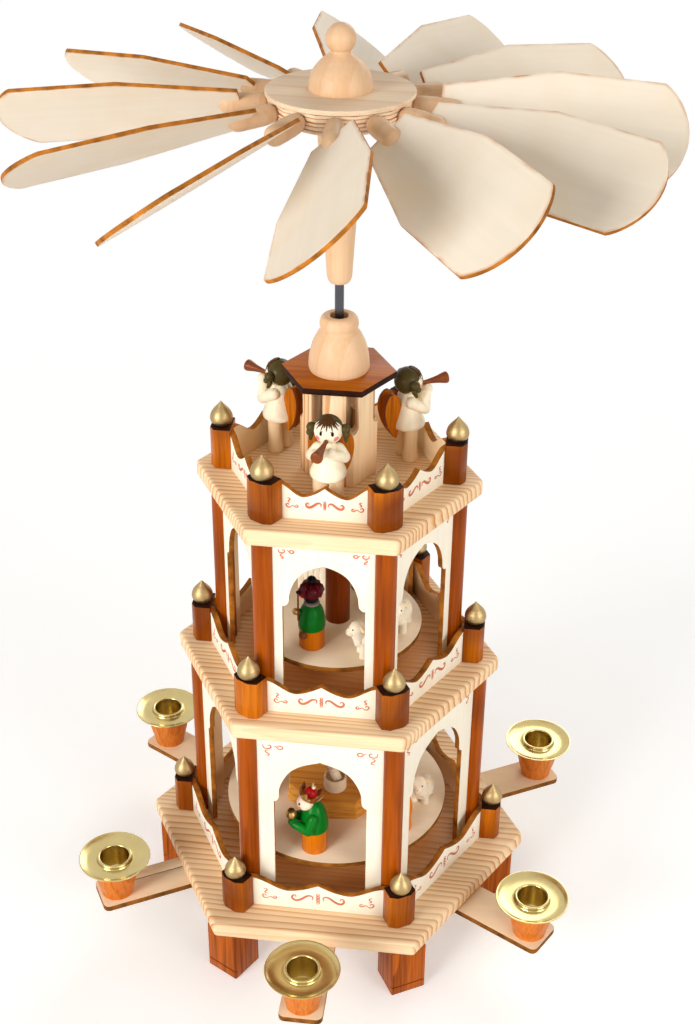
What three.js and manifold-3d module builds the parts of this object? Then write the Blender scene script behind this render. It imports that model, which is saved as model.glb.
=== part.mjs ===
// Candle-driven wooden pyramid: three hexagonal storeys on six feet, six candle arms,
// and a rotor whose twelve wings turn a steel shaft with two turntables of figures.
// Millimetres, +Z up, origin at the middle of the footprint, feet on z = 0,
// one side of the hexagon facing -Y.
import * as THREE from "three";
import { mergeVertices } from "three/addons/utils/BufferGeometryUtils.js";
import Module from "manifold-3d";

const wasm = await Module();
wasm.setup();

// Sizes, clearances
const SEAT_GAP = 0.05;          // air under a piece that only stands on another
const FIT_GAP = 0.3;            // air between a piece and the hole it sits in
const SIDES = 6;

// Sizes, storeys
const BASE_R = 96.7;            // corner radius of the lowest plate
const PLATE_T = 8.2;
const PLATE_EASE = 1.8;         // chamfer round the upper edge
const LOWER_H = 102.4;          // clear height of the lower arcade
const UPPER_H = 89.3;
const SHAFT_PASS_R = 3.6;       // hole for the shaft in the upper plates

// Sizes, feet
const FOOT_W = 17.5;
const FOOT_H = 28;
const FOOT_INSET = 4.7;         // from the plate's corner to the foot's outer face
const FOOT_KERF_Z = 5;
const FOOT_KERF_T = 0.8;
const FOOT_KERF_D = 1.6;

// Sizes, candle arms and sockets
const ARM_W = 20.5;
const ARM_T = 3;
const ARM_ROOT = 24;            // length glued under the plate
const ARM_CORNER = 3;
const SOCKET_OUT = 34.5;        // socket centre beyond the plate's straight edge
const ARM_END = 9.3;            // arm beyond the socket centre
const CUP_H = 20;
const CUP_FOOT_R = 7.8;
const CUP_TOP_R = 11;
const CANDLE_R = 7;             // hole for a 14 mm candle
const CANDLE_DEPTH = 13.5;
const BRASS_T = 0.9;
const DISH_R = 17.5;
const DISH_RISE = 1.4;
const LIP_R = 8.6;
const LIP_H = 3;

// Sizes, arcades
const COLUMN_R = 4.85;
const COLUMN_GAP = 0.8;         // column to the gallery fence in front of it
const LOWER_OVERHANG = 10.1;    // corner of the plate above beyond the column's axis
const UPPER_OVERHANG = 11.5;
const PANEL_T = 2.6;
const LOWER_ARCH = { half: 22, neck: 19.4, step: 60.6, spring: 64.5, tip: 86.5 };
const UPPER_ARCH = { half: 18.5, neck: 15.4, step: 53.7, spring: 57, tip: 76.2 };

// Sizes, galleries
const POST_INSET = { base: 16.9, middle: 12.55, top: 12.7 };
const POST_W = 13.6;
const POST_INNER = 5;           // post axis to its flat inner side
const POST_FLAT = 1.4;          // post axis to the end of its side flats
const POST_OUTER = 4.7;         // post axis to the crown of its rounded front
const POST_H = 19.7;
const FINIAL_R = 4.85;
const FINIAL_H = 11.6;
const FENCE_T = 3;
const FENCE_BACK = 1.3;         // fence face behind the line through the posts
const FENCE_END_H = 17.4;
const FENCE_DIP_H = 10.9;
const FENCE_PEAK_H = 15.7;

// Sizes, turret
const TURRET_R = 17.4;
const TURRET_H = 48.4;
const TURRET_BORE_R = 11.5;
const SLOT_W = 6.1;
const SLOT_SILL = 26.2;         // lowest point of a turret slot above the plate
const ROOF_R = 25.5;
const ROOF_T = 3;
const BELL_R = 13.4;
const BELL_H = 24.9;
const BELL_GROOVE_R = 7.8;
const BELL_BEAD_R = 8.3;
const BELL_MOUTH_R = 4.05;
const BELL_MOUTH_DEPTH = 6;

// Sizes, rotor
const SHAFT_R = 2;
const RUN_GAP = 0.4;            // air round the shaft where the bell guides it
const BEARING_R = 5;
const BEARING_H = 4;
const BEARING_CUP = 1.9;
const FERRULE_R = 9.8;
const FERRULE_END_R = 5.6;
const FERRULE_H = 72.3;
const FERRULE_TIP = 6.3;
const HEADROOM = 15.1;          // from the bell's mouth to the ferrule's tip
const HUB_FLAT = 28.5;          // hub axis to the flat that a wing's peg enters
const HUB_T = 8;
const HUB_DISC_R = 30.15;
const HUB_DISC_T = 2;
const DOME_R = 12.8;
const DOME_H = 14.2;
const KNOB_NECK_R = 4;
const KNOB_BALL_R = 6.1;

// Sizes, wings
const WINGS = 12;
const WING_PHASE = -86.4;       // bearing of the first wing, degrees
const WING_PITCH = 38.6;        // usual pitch of the blades, degrees
const WING_DROOP = 5.2;         // fall of the pegs below the horizontal, degrees
const WING_SET = [2, 2, -6, 5, 1, 4, -3, -4, 0, 5, -5, -2]; // pitch each one is set off by
const PEG_DROP = 1.2;           // where the peg lines meet, below the hub's upper face
const PEG_R = 3.4;
const PEG_END = 48.9;
const TENON_R = 2.5;
const TENON_L = 8;
const BLADE_T = 1.7;
const BLADE_ROOT = 39.85;
const BLADE_ROOT_W = 20.9;
const BLADE_KINK = 86;
const BLADE_W = 44.5;
const BLADE_CORNER = 128.4;
const BLADE_BULGE = 10.9;

// Sizes, turntables
const DISC_T = 3;
const LOWER_DISC_GAP = 2;       // rim to the inside of the arch panels
const LOWER_DISC_Z = 19.8;      // upper face above the plate below it
const UPPER_DISC_GAP = 5.3;
const UPPER_DISC_Z = 15.9;
const SLEEVE_R = 5.9;
const SLEEVE_DOWN = 7;
const UPPER_SLEEVE_UP = 38;
const STAGE_R = 26.5;
const STAGE_LAYER = 5.35;
const STAGE_STEP = 0.4;
const STAGE_TURN = -106;

// Heights that follow from the sizes
const cos30 = Math.cos(Math.PI / 6);
const baseZ = FOOT_H;
const baseTop = baseZ + PLATE_T;
const middleZ = baseTop + LOWER_H;
const middleTop = middleZ + PLATE_T;
const topZ = middleTop + UPPER_H;
const topTop = topZ + PLATE_T;
const roofZ = topTop + TURRET_H;
const bellZ = roofZ + ROOF_T;
const bellTop = bellZ + BELL_H;
const ferruleZ = bellTop + HEADROOM;
const hubZ = ferruleZ + FERRULE_H;
const hubTop = hubZ + HUB_T + HUB_DISC_T;
const pegZ = hubTop - HUB_DISC_T - PEG_DROP;
const lowerDiscTop = baseTop + LOWER_DISC_Z;
const upperDiscTop = middleTop + UPPER_DISC_Z;

// Radii that follow from the sizes, from the base plate inwards
const socketRadius = BASE_R * cos30 + SOCKET_OUT;
const fenceFace = (postCircle) => postCircle * cos30 - FENCE_BACK;
const columnCircle = (postCircle) =>
  (fenceFace(postCircle) - FENCE_T - COLUMN_GAP - COLUMN_R) / cos30;
const basePosts = BASE_R - POST_INSET.base;
const lowerColumns = columnCircle(basePosts);
const middleR = lowerColumns + LOWER_OVERHANG;
const middlePosts = middleR - POST_INSET.middle;
const upperColumns = columnCircle(middlePosts);
const topR = upperColumns + UPPER_OVERHANG;
const topPosts = topR - POST_INSET.top;
const lowerDiscR = lowerColumns * cos30 - PANEL_T / 2 - LOWER_DISC_GAP;
const upperDiscR = upperColumns * cos30 - PANEL_T / 2 - UPPER_DISC_GAP;

// Colours
const material = (color, roughness, metalness = 0) =>
  new THREE.MeshStandardMaterial({ color, roughness, metalness });
const PINE = material(0xe9c48c, 0.55);
const STAIN = material(0xb0561a, 0.4);
const FOOT_WOOD = material(0x8f4320, 0.5);
const PALE_PLY = material(0xefd2ae, 0.6);
const BLADE_PLY = material(0xf3dcb2, 0.55);
const CREAM = material(0xf4ead2, 0.6);
const BRASS = material(0xc9a04a, 0.25, 1);
const STEEL = material(0x77787c, 0.3, 1);
const ROOF_STAIN = material(0xa9530f, 0.5);
const TURNED = material(0xefc691, 0.5);
const GREEN = material(0x15702c, 0.35);
const RED = material(0xa3201c, 0.4);
const ORANGE = material(0xd2601a, 0.4);
const BROWN = material(0x5d2d12, 0.45);
const FLEECE = material(0xf1e3c8, 0.7);

const root = new THREE.Group();

function radians(degrees) {
  return (degrees * Math.PI) / 180;
}

// A closed three.js geometry as a solid, its faces turned outward
function solid(geometry) {
  const bare = geometry.clone();
  for (const name of Object.keys(bare.attributes)) {
    if (name !== "position") bare.deleteAttribute(name);
  }
  const merged = mergeVertices(bare, 1e-4);
  const p = merged.attributes.position.array;
  const index = merged.index.array;
  const faces = [];
  let volume = 0;
  for (let i = 0; i < index.length; i += 3) {
    const [a, b, c] = [index[i], index[i + 1], index[i + 2]];
    if (a === b || b === c || c === a) continue;
    faces.push(a, b, c);
    const [A, B, C] = [a, b, c].map((k) => new THREE.Vector3(p[3 * k], p[3 * k + 1], p[3 * k + 2]));
    volume += A.dot(B.cross(C));
  }
  if (volume < 0) faces.reverse();
  return new wasm.Manifold(new wasm.Mesh({
    numProp: 3,
    vertProperties: new Float32Array(p),
    triVerts: new Uint32Array(faces),
  }));
}

function union(parts) {
  return parts.reduce((whole, part) => whole.add(part));
}

function geometryOf(body) {
  const mesh = body.getMesh();
  const geometry = new THREE.BufferGeometry();
  geometry.setAttribute("position", new THREE.BufferAttribute(new Float32Array(mesh.vertProperties), 3));
  geometry.setIndex(new THREE.BufferAttribute(new Uint32Array(mesh.triVerts), 1));
  return geometry;
}

function addPiece(name, body, look, place = {}) {
  const mesh = new THREE.Mesh(geometryOf(body), look);
  mesh.name = name;
  mesh.position.set(place.x ?? 0, place.y ?? 0, place.z ?? 0);
  mesh.rotation.z = radians(place.turn ?? 0);
  (place.group ?? root).add(mesh);
  return mesh;
}

// Turned shape about Z from [radius, height] pairs
function turned(profile, segments, phase = 0) {
  const points = profile.map(([r, z]) => new THREE.Vector2(r, z));
  const geometry = new THREE.LatheGeometry(points, segments);
  geometry.rotateX(Math.PI / 2);
  geometry.rotateZ(Math.PI / 2 + radians(phase));
  return geometry;
}

// Flat outline in XY pushed up along Z
function extruded(points, depth) {
  const shape = new THREE.Shape(points.map(([x, y]) => new THREE.Vector2(x, y)));
  return new THREE.ExtrudeGeometry(shape, { depth, bevelEnabled: false });
}

// Outline drawn in the side plane (across, up), thick toward the axis, its face at the given distance
function upright(points, thickness, distance, bearing) {
  const geometry = extruded(points, thickness);
  geometry.rotateX(Math.PI / 2);
  geometry.translate(0, -distance + thickness, 0);
  geometry.rotateZ(radians(bearing + 90));
  return geometry;
}

function box(w, d, h, x, y, z) {
  return new THREE.BoxGeometry(w, d, h).translate(x, y, z);
}

function ball(radius, x, y, z, around = 10, over = 6) {
  return new THREE.SphereGeometry(radius, around, over).rotateX(Math.PI / 2).translate(x, y, z);
}

// Round bar, or cone, from point a to point b
function bar(a, b, ra, rb, segments = 8) {
  const from = new THREE.Vector3(...a);
  const along = new THREE.Vector3(...b).sub(from);
  const geometry = new THREE.CylinderGeometry(rb, ra, along.length(), segments);
  geometry.translate(0, along.length() / 2, 0);
  geometry.applyQuaternion(
    new THREE.Quaternion().setFromUnitVectors(new THREE.Vector3(0, 1, 0), along.normalize()));
  return geometry.translate(from.x, from.y, from.z);
}

function cylinder(radius, z0, z1, segments = 16) {
  return bar([0, 0, z0], [0, 0, z1], radius, radius, segments);
}

// Corner and side bearings of the hexagon, degrees
const corners = Array.from({ length: SIDES }, (_, i) => 60 * i);
const sides = corners.map((a) => a + 30);

// Plates, with the shaft's bearing cup pressed into the lowest one
function plate(radius, bore) {
  const ease = PLATE_EASE / cos30;
  const body = solid(turned([
    [0, 0], [radius, 0], [radius, PLATE_T - PLATE_EASE],
    [radius - ease * 0.35, PLATE_T - PLATE_EASE * 0.35],
    [radius - ease, PLATE_T], [0, PLATE_T],
  ], SIDES));
  return bore ? body.subtract(solid(cylinder(bore, -1, PLATE_T + 1))) : body;
}

const bearing = solid(turned([
  [0, PLATE_T - 2], [BEARING_R, PLATE_T - 2], [BEARING_R, PLATE_T + BEARING_H],
  [BEARING_CUP * 1.4, PLATE_T + BEARING_H], [0, PLATE_T + BEARING_H - BEARING_CUP],
], 16));
addPiece("base_plate", plate(BASE_R, 0).add(bearing), PINE, { z: baseZ });
addPiece("middle_plate", plate(middleR, SHAFT_PASS_R), PINE, { z: middleZ });
addPiece("top_plate", plate(topR, SHAFT_PASS_R), PINE, { z: topZ });

// Feet, each with a saw kerf across its outer face
const footOut = BASE_R - FOOT_INSET;
const foot = solid(box(FOOT_W, FOOT_W, FOOT_H, footOut - FOOT_W / 2, 0, FOOT_H / 2))
  .subtract(solid(box(2 * FOOT_KERF_D, FOOT_W + 2, FOOT_KERF_T, footOut, 0, FOOT_KERF_Z)));
corners.forEach((turn, i) => addPiece(`foot_${i + 1}`, foot, FOOT_WOOD, { turn }));

// Candle arms under the base plate, each with its turned cup
const armIn = BASE_R * cos30 - ARM_ROOT;
const armOut = socketRadius + ARM_END;
const armOutline = [
  [armIn, -ARM_W / 2], [armOut - ARM_CORNER, -ARM_W / 2],
  [armOut - ARM_CORNER * 0.3, -ARM_W / 2 + ARM_CORNER * 0.3], [armOut, -ARM_W / 2 + ARM_CORNER],
  [armOut, ARM_W / 2 - ARM_CORNER], [armOut - ARM_CORNER * 0.3, ARM_W / 2 - ARM_CORNER * 0.3],
  [armOut - ARM_CORNER, ARM_W / 2], [armIn, ARM_W / 2],
];
const cupTop = baseZ + CUP_H;
const socketFloor = cupTop + LIP_H - CANDLE_DEPTH;
const tubeR = CANDLE_R + BRASS_T;
const cup = solid(turned([
  [0, baseZ - ARM_T / 2], [CUP_FOOT_R, baseZ - ARM_T / 2], [CUP_FOOT_R, baseZ + 1],
  [(CUP_FOOT_R + CUP_TOP_R) / 2 + 0.7, baseZ + CUP_H / 2], [CUP_TOP_R, cupTop - 1.2],
  [CUP_TOP_R - 0.6, cupTop], [0, cupTop],
], 12).translate(socketRadius, 0, 0));
const cupHole = solid(cylinder(tubeR + FIT_GAP, socketFloor - BRASS_T - FIT_GAP, cupTop + 1, 12)
  .translate(socketRadius, 0, 0));
const arm = solid(extruded(armOutline, ARM_T).translate(0, 0, baseZ - ARM_T)).add(cup).subtract(cupHole);
sides.forEach((turn, i) => addPiece(`candle_arm_${i + 1}`, arm, PALE_PLY, { turn }));

// Brass sockets: tube with a floor, dish and raised lip
const dishZ = cupTop + SEAT_GAP;
const socket = solid(turned([
  [0, socketFloor - BRASS_T], [tubeR, socketFloor - BRASS_T], [tubeR, dishZ],
  [CUP_TOP_R, dishZ], [DISH_R - 0.4, dishZ + DISH_RISE], [DISH_R, dishZ + DISH_RISE + BRASS_T],
  [CUP_TOP_R, dishZ + BRASS_T], [LIP_R, dishZ + BRASS_T], [LIP_R, cupTop + LIP_H],
  [CANDLE_R, cupTop + LIP_H], [CANDLE_R, socketFloor], [0, socketFloor],
], 12).translate(socketRadius, 0, 0));
sides.forEach((turn, i) => addPiece(`candle_socket_${i + 1}`, socket, BRASS, { turn }));

// Arcades: six columns with a keel-arched panel let into each pair
function archOutline(span, height, arch) {
  const rise = arch.tip - arch.spring;
  const right = [
    [arch.half, 0], [arch.half, arch.step], [arch.neck + 0.9, (arch.step + arch.spring) / 2],
    [arch.neck, arch.spring + rise * 0.1], [arch.neck * 0.88, arch.spring + rise * 0.44],
    [arch.neck * 0.62, arch.spring + rise * 0.72], [arch.neck * 0.3, arch.spring + rise * 0.88],
  ];
  const left = right.map(([x, z]) => [-x, z]).reverse();
  return [...left, [-span, 0], [-span, height], [span, height], [span, 0],
    ...right, [0, arch.tip]];
}

function arcade(circle, height, arch) {
  const panel = archOutline(circle / 2 - COLUMN_R * 0.4, height, arch);
  const distance = circle * cos30 + PANEL_T / 2;
  const columns = corners.map((a) => solid(cylinder(COLUMN_R, 0, height, 8)
    .translate(circle * Math.cos(radians(a)), circle * Math.sin(radians(a)), 0)));
  return union([...columns, ...sides.map((a) => solid(upright(panel, PANEL_T, distance, a)))]);
}
addPiece("lower_arcade", arcade(lowerColumns, LOWER_H, LOWER_ARCH), CREAM, { z: baseTop });
addPiece("upper_arcade", arcade(upperColumns, UPPER_H, UPPER_ARCH), CREAM, { z: middleTop });

// Galleries: scalloped fences between posts that carry onion finials
function fenceHeight(u) {
  if (u < 0.4) return FENCE_DIP_H + (FENCE_PEAK_H - FENCE_DIP_H) * (1 - u / 0.4) ** 1.6;
  const t = Math.min(1, (u - 0.4) / 0.48);
  return FENCE_DIP_H + (FENCE_END_H - FENCE_DIP_H) * t * t * (3 - 2 * t);
}

function fenceOutline(half) {
  const stations = [0, 0.13, 0.27, 0.42, 0.62, 0.8, 1];
  const right = stations.map((u) => [u * half, fenceHeight(u)]);
  const left = right.slice(1).map(([x, z]) => [-x, z]).reverse();
  return [[-half, 0], ...left, ...right, [half, 0]];
}

const finialProfile = [[0, -0.5], [0.6 * FINIAL_R, -0.5], [0.95 * FINIAL_R, 0.2 * FINIAL_H],
  [0.93 * FINIAL_R, 0.46 * FINIAL_H], [0.36 * FINIAL_R, 0.8 * FINIAL_H], [0, FINIAL_H]];
const postOutline = [[-POST_INNER, -POST_W / 2], [POST_FLAT, -POST_W / 2],
  [POST_OUTER - 0.6, -0.22 * POST_W], [POST_OUTER - 0.6, 0.22 * POST_W], [POST_FLAT, POST_W / 2],
  [-POST_INNER, POST_W / 2]];

function gallery(circle) {
  const distance = fenceFace(circle);
  const fence = fenceOutline(distance * Math.tan(Math.PI / 6));
  const fences = sides.map((a) => solid(upright(fence, FENCE_T, distance, a)));
  const posts = corners.flatMap((a) => [
    extruded(postOutline, POST_H),
    turned(finialProfile, 6).translate(0, 0, POST_H),
  ].map((geometry) => solid(geometry.translate(circle, 0, 0).rotateZ(radians(a)))));
  return union([...fences, ...posts]);
}
addPiece("lower_gallery", gallery(basePosts), STAIN, { z: baseTop });
addPiece("middle_gallery", gallery(middlePosts), STAIN, { z: middleTop });
addPiece("top_gallery", gallery(topPosts), STAIN, { z: topTop });

// Turret with a slot in each side, roof plate and bell-shaped shaft guide
const slotOutline = [[-SLOT_W / 2, TURRET_H + 1], [-SLOT_W / 2, SLOT_SILL + SLOT_W / 2],
  [-0.35 * SLOT_W, SLOT_SILL + 0.15 * SLOT_W], [0, SLOT_SILL], [0.35 * SLOT_W, SLOT_SILL + 0.15 * SLOT_W],
  [SLOT_W / 2, SLOT_SILL + SLOT_W / 2], [SLOT_W / 2, TURRET_H + 1]];
const turretWalls = solid(turned([[0, 0], [TURRET_R, 0], [TURRET_R, TURRET_H], [0, TURRET_H]], SIDES))
  .subtract(solid(cylinder(TURRET_BORE_R, -1, TURRET_H + 1)));
const slots = sides.map((a) => solid(upright(slotOutline, TURRET_R - TURRET_BORE_R + 3, TURRET_R + 1, a)));
addPiece("turret", turretWalls.subtract(union(slots)), PINE, { z: topTop });

const roof = solid(turned([[0, 0], [ROOF_R, 0], [ROOF_R, ROOF_T], [0, ROOF_T]], SIDES));
addPiece("roof_plate", roof.subtract(solid(cylinder(SHAFT_PASS_R, -1, ROOF_T + 1))),
  ROOF_STAIN, { z: roofZ });

const bell = solid(turned([
  [0, 0], [BELL_R - 0.3, 0], [BELL_R, 0.1 * BELL_H], [0.96 * BELL_R, 0.28 * BELL_H],
  [0.86 * BELL_R, 0.48 * BELL_H], [0.72 * BELL_R, 0.64 * BELL_H], [BELL_GROOVE_R, 0.76 * BELL_H],
  [BELL_BEAD_R, 0.81 * BELL_H], [BELL_BEAD_R, 0.92 * BELL_H], [0.85 * BELL_BEAD_R, BELL_H],
  [0, BELL_H],
], 16));
addPiece("bell_cap", bell
  .subtract(solid(cylinder(SHAFT_R + RUN_GAP, -1, BELL_H + 1, 12)))
  .subtract(solid(cylinder(BELL_MOUTH_R, BELL_H - BELL_MOUTH_DEPTH, BELL_H + 1, 12))),
  TURNED, { z: bellZ });

// Angels on the top storey: legs, dress, head with buns, bent arms, trumpet and a pair of wings
const ANGEL = {
  leg: 3.1, stance: 3.7, hem: 14, hemR: 7.2, flare: 0.2, neck: 32.5, neckR: 3, head: 38.6, headR: 6.2,
  bun: 2, armR: 1.9, trumpet: 12, wingT: 1.8, wingTurn: 55, gap: 0.4,
};
const angelCircle = fenceFace(topPosts) - FENCE_T - ANGEL.gap - ANGEL.hemR - ANGEL.flare;
function angelBody() {
  const a = ANGEL;
  const shoulder = a.neck - 4.2;
  const mouth = a.head - 2;
  const parts = [
    turned([[0, a.hem], [a.hemR, a.hem], [a.hemR + a.flare, a.hem + 1.2], [0.78 * a.hemR, a.hem + 7],
      [0.55 * a.hemR, shoulder], [a.neckR, a.neck], [0, a.neck]], 8),
    ball(a.headR, 0, 0, a.head, 8, 6),
    bar([-a.headR + 1.5, 0, mouth], [-a.headR - a.trumpet, 0, mouth], 1.2, 2.7, 6),
  ];
  for (const side of [-1, 1]) {
    const elbow = [-2.5, side * 8.8, shoulder - 4];
    const hand = [-a.headR - 3.2, side * 2.2, mouth - 2.2];
    parts.push(
      bar([0, side * a.stance, 0], [0, side * a.stance, a.hem + 2], a.leg, a.leg, 6),
      ball(a.bun, 0, side * (a.headR + 0.9), a.head - 0.5, 4, 3),
      bar([0, side * 3, shoulder + 1], elbow, a.armR, a.armR, 5),
      bar([elbow[0] + 1, elbow[1], elbow[2] - 1], hand, a.armR, a.armR, 5),
    );
    const wing = extruded([[0, 8], [3, 14], [7, 17], [11, 12], [10, 4], [3.5, -6],
      [3.5, 2]], a.wingT);
    wing.rotateX(Math.PI / 2).translate(0, a.wingT / 2, a.hem + 5);
    wing.rotateZ(radians(a.wingTurn)).translate(2.8, 0, 0);
    if (side < 0) wing.scale(1, -1, 1);
    parts.push(wing);
  }
  return union(parts.map(solid));
}
const angel = angelBody();
[270, 30, 150].forEach((bearingAngle, i) => addPiece(`angel_${i + 1}`, angel, CREAM, {
  x: angelCircle * Math.cos(radians(bearingAngle)),
  y: angelCircle * Math.sin(radians(bearingAngle)),
  z: topTop + SEAT_GAP,
  turn: bearingAngle + 180,
}));

// Shaft from its cup on the base plate up into the ferrule
const shaftTip = baseTop + BEARING_H - BEARING_CUP + FIT_GAP;
const shaftTop = hubZ - 3;
const rotor = new THREE.Group();
root.add(rotor);
addPiece("shaft", solid(turned([
  [0, shaftTip], [SHAFT_R, shaftTip + 2.8], [SHAFT_R, shaftTop], [0, shaftTop]], 12)),
  STEEL, { group: rotor });

// Ferrule, hub and knob
const ferruleBore = solid(cylinder(SHAFT_R + FIT_GAP, ferruleZ - 1, shaftTop + FIT_GAP, 12));
addPiece("ferrule", solid(turned([
  [0, ferruleZ], [0.62 * FERRULE_END_R, ferruleZ], [0.9 * FERRULE_END_R, ferruleZ + 0.25 * FERRULE_TIP],
  [FERRULE_END_R, ferruleZ + FERRULE_TIP], [FERRULE_R, hubZ], [0, hubZ]], 16)).subtract(ferruleBore),
  TURNED, { group: rotor });

const pegDirections = WING_SET.map((_, i) => {
  const bearingAngle = radians(WING_PHASE + (360 / WINGS) * i);
  const droop = radians(WING_DROOP);
  return new THREE.Vector3(
    Math.cos(droop) * Math.cos(bearingAngle), Math.cos(droop) * Math.sin(bearingAngle), -Math.sin(droop));
});
const pegStart = HUB_FLAT - TENON_L;
const pegHoles = pegDirections.map((d) => solid(bar(
  [d.x * (pegStart - FIT_GAP), d.y * (pegStart - FIT_GAP), pegZ + d.z * (pegStart - FIT_GAP)],
  [d.x * PEG_END, d.y * PEG_END, pegZ + d.z * PEG_END],
  TENON_R + FIT_GAP, TENON_R + FIT_GAP, 7)));
const hubCorner = HUB_FLAT / Math.cos(Math.PI / WINGS);
const hubBody = solid(turned([[0, hubZ], [hubCorner, hubZ], [hubCorner, hubZ + HUB_T + 0.5],
  [0, hubZ + HUB_T + 0.5]], WINGS, WING_PHASE + 180 / WINGS));
const hubDisc = solid(turned([[0, hubZ + HUB_T], [HUB_DISC_R - 0.5, hubZ + HUB_T],
  [HUB_DISC_R, hubZ + HUB_T + HUB_DISC_T / 2], [HUB_DISC_R - 0.5, hubTop], [0, hubTop]], 24));
addPiece("hub", hubBody.add(hubDisc).subtract(union(pegHoles)), PINE, { group: rotor });

const ballZ = DOME_H + Math.sqrt(KNOB_BALL_R ** 2 - KNOB_NECK_R ** 2) + 1;
addPiece("knob", union([
  solid(turned([[0, 0], [DOME_R, 0], [DOME_R + 0.2, 0.1 * DOME_H], [0.95 * DOME_R, 0.38 * DOME_H],
    [0.8 * DOME_R, 0.62 * DOME_H], [0.56 * DOME_R, 0.84 * DOME_H], [KNOB_NECK_R, DOME_H],
    [KNOB_NECK_R, ballZ], [0, ballZ]], 16)),
  solid(ball(KNOB_BALL_R, 0, 0, ballZ, 12, 8)),
]), TURNED, { z: hubTop, group: rotor });

// Wings: thin blade in a slotted peg whose tenon turns in the hub
const bladeOutline = [[BLADE_ROOT, -BLADE_ROOT_W / 2], [BLADE_KINK, -BLADE_W / 2],
  [BLADE_CORNER, -BLADE_W / 2]];
for (let i = 1; i < 6; i += 1) {
  const u = (2 * i) / 6 - 1;
  bladeOutline.push([BLADE_CORNER + BLADE_BULGE * (1 - u * u) ** 0.8, (u * BLADE_W) / 2]);
}
bladeOutline.push([BLADE_CORNER, BLADE_W / 2], [BLADE_KINK, BLADE_W / 2], [BLADE_ROOT, BLADE_ROOT_W / 2]);
const pegShoulder = HUB_FLAT / Math.cos(radians(WING_DROOP)) + FIT_GAP + 0.4;
const wing = union([
  solid(extruded(bladeOutline, BLADE_T).translate(0, 0, -BLADE_T / 2)),
  solid(turned([[0, pegStart], [TENON_R, pegStart], [TENON_R, pegShoulder], [PEG_R, pegShoulder],
    [PEG_R, PEG_END - 1.5], [0.6 * PEG_R, PEG_END], [0, PEG_END]], 8).rotateY(Math.PI / 2)),
]);
WING_SET.forEach((offset, i) => {
  const mesh = addPiece(`wing_${i + 1}`, wing, BLADE_PLY, { z: pegZ, group: rotor });
  mesh.rotation.set(
    radians(WING_PITCH + offset), radians(WING_DROOP), radians(WING_PHASE + (360 / WINGS) * i), "ZYX");
});

// Turntables on the shaft; the lower one carries an eight-sided stage of two layers
const shaftBore = solid(cylinder(SHAFT_R + FIT_GAP, 0, hubZ, 12));
const sleeveFoot = lowerDiscTop - DISC_T - SLEEVE_DOWN;
const stageTop = lowerDiscTop + 2 * STAGE_LAYER;
addPiece("lower_turntable", union([
  solid(turned([[0, lowerDiscTop - DISC_T], [lowerDiscR, lowerDiscTop - DISC_T],
    [lowerDiscR, lowerDiscTop], [0, lowerDiscTop]], 36)),
  solid(cylinder(SLEEVE_R, sleeveFoot, lowerDiscTop - DISC_T + 1, 12)),
  solid(turned([[0, lowerDiscTop - 1], [STAGE_R, lowerDiscTop - 1], [STAGE_R, lowerDiscTop + STAGE_LAYER],
    [STAGE_R - STAGE_STEP, lowerDiscTop + STAGE_LAYER], [STAGE_R - STAGE_STEP, stageTop], [0, stageTop]],
  8, STAGE_TURN)),
]).subtract(shaftBore), PINE, { group: rotor });

const upperSleeveTop = upperDiscTop + UPPER_SLEEVE_UP;
addPiece("upper_turntable", union([
  solid(turned([[0, upperDiscTop - DISC_T], [upperDiscR, upperDiscTop - DISC_T],
    [upperDiscR, upperDiscTop], [0, upperDiscTop]], 28)),
  solid(cylinder(SLEEVE_R, upperDiscTop - DISC_T - SLEEVE_DOWN + 3, upperSleeveTop, 12)),
]).subtract(shaftBore), PINE, { group: rotor });

// Figures, drawn facing -X with their foot at the origin
function turnedFigure(profile, extras) {
  return union([turned(profile, 8), ...extras].map(solid));
}

function crownedKing() {
  const parts = [ball(4.6, -0.4, 0, 31, 8, 6)];
  for (const side of [-1, 1]) {
    parts.push(
      bar([0, side * 3.6, 20.5], [-2.6, side * 6, 14], 2.1, 2, 5),
      bar([-1.6, side * 6.4, 14.2], [-8.4, side * 1.8, 15.4], 2, 1.9, 5),
    );
  }
  parts.push(ball(2.6, -8.8, 0, 17.6, 7, 5));
  parts.push(turned([[0, 33.6], [4.4, 33.6], [4.4, 35.4], [5, 38.6], [2.6, 37.2], [2.2, 39.8], [0, 41.4]], 8)
    .translate(0.5, 0, 0));
  return turnedFigure([[0, 0], [5.9, 0], [5.9, 9.8], [6.3, 10.6], [6, 16], [4.6, 22.5], [2.8, 27],
    [0, 27]], parts);
}

function turbanedKing() {
  return turnedFigure([[0, 0], [5.7, 0], [5.7, 10], [6, 11], [5.7, 17], [4.2, 22], [2.8, 24], [3.5, 26.4],
    [3.6, 28.8], [5, 30.4], [4.9, 32.8], [2.6, 35], [2.3, 37.2], [0, 38.7]], [
    ball(2.2, -4.6, -4, 8.8, 6, 4),
    bar([-6.6, -1, 19.5], [-6.6, -1, 31.5], 0.9, 0.9, 6),
    bar([-3.5, -0.8, 19.8], [-7.2, -1, 20.2], 1.5, 1.3, 6),
    ball(1.9, -7.4, 0.6, 19.4, 6, 4),
  ]);
}

function robedFigure(height) {
  const neck = height - 10.2;
  return turnedFigure([[0, 0], [5.6, 0], [5.4, 0.3 * neck], [5.6, 0.55 * neck], [4.4, 0.85 * neck],
    [2.4, neck], [2.4, neck + 2], [0, neck + 2]], [
    ball(4.4, 0, 0, height - 5.4, 8, 5),
    ...[-1, 1].map((side) => bar([-1, side * 4, 0.78 * neck], [-5.6, side * 1.2, 0.62 * neck], 1.8, 1.6, 5)),
  ]);
}

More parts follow.
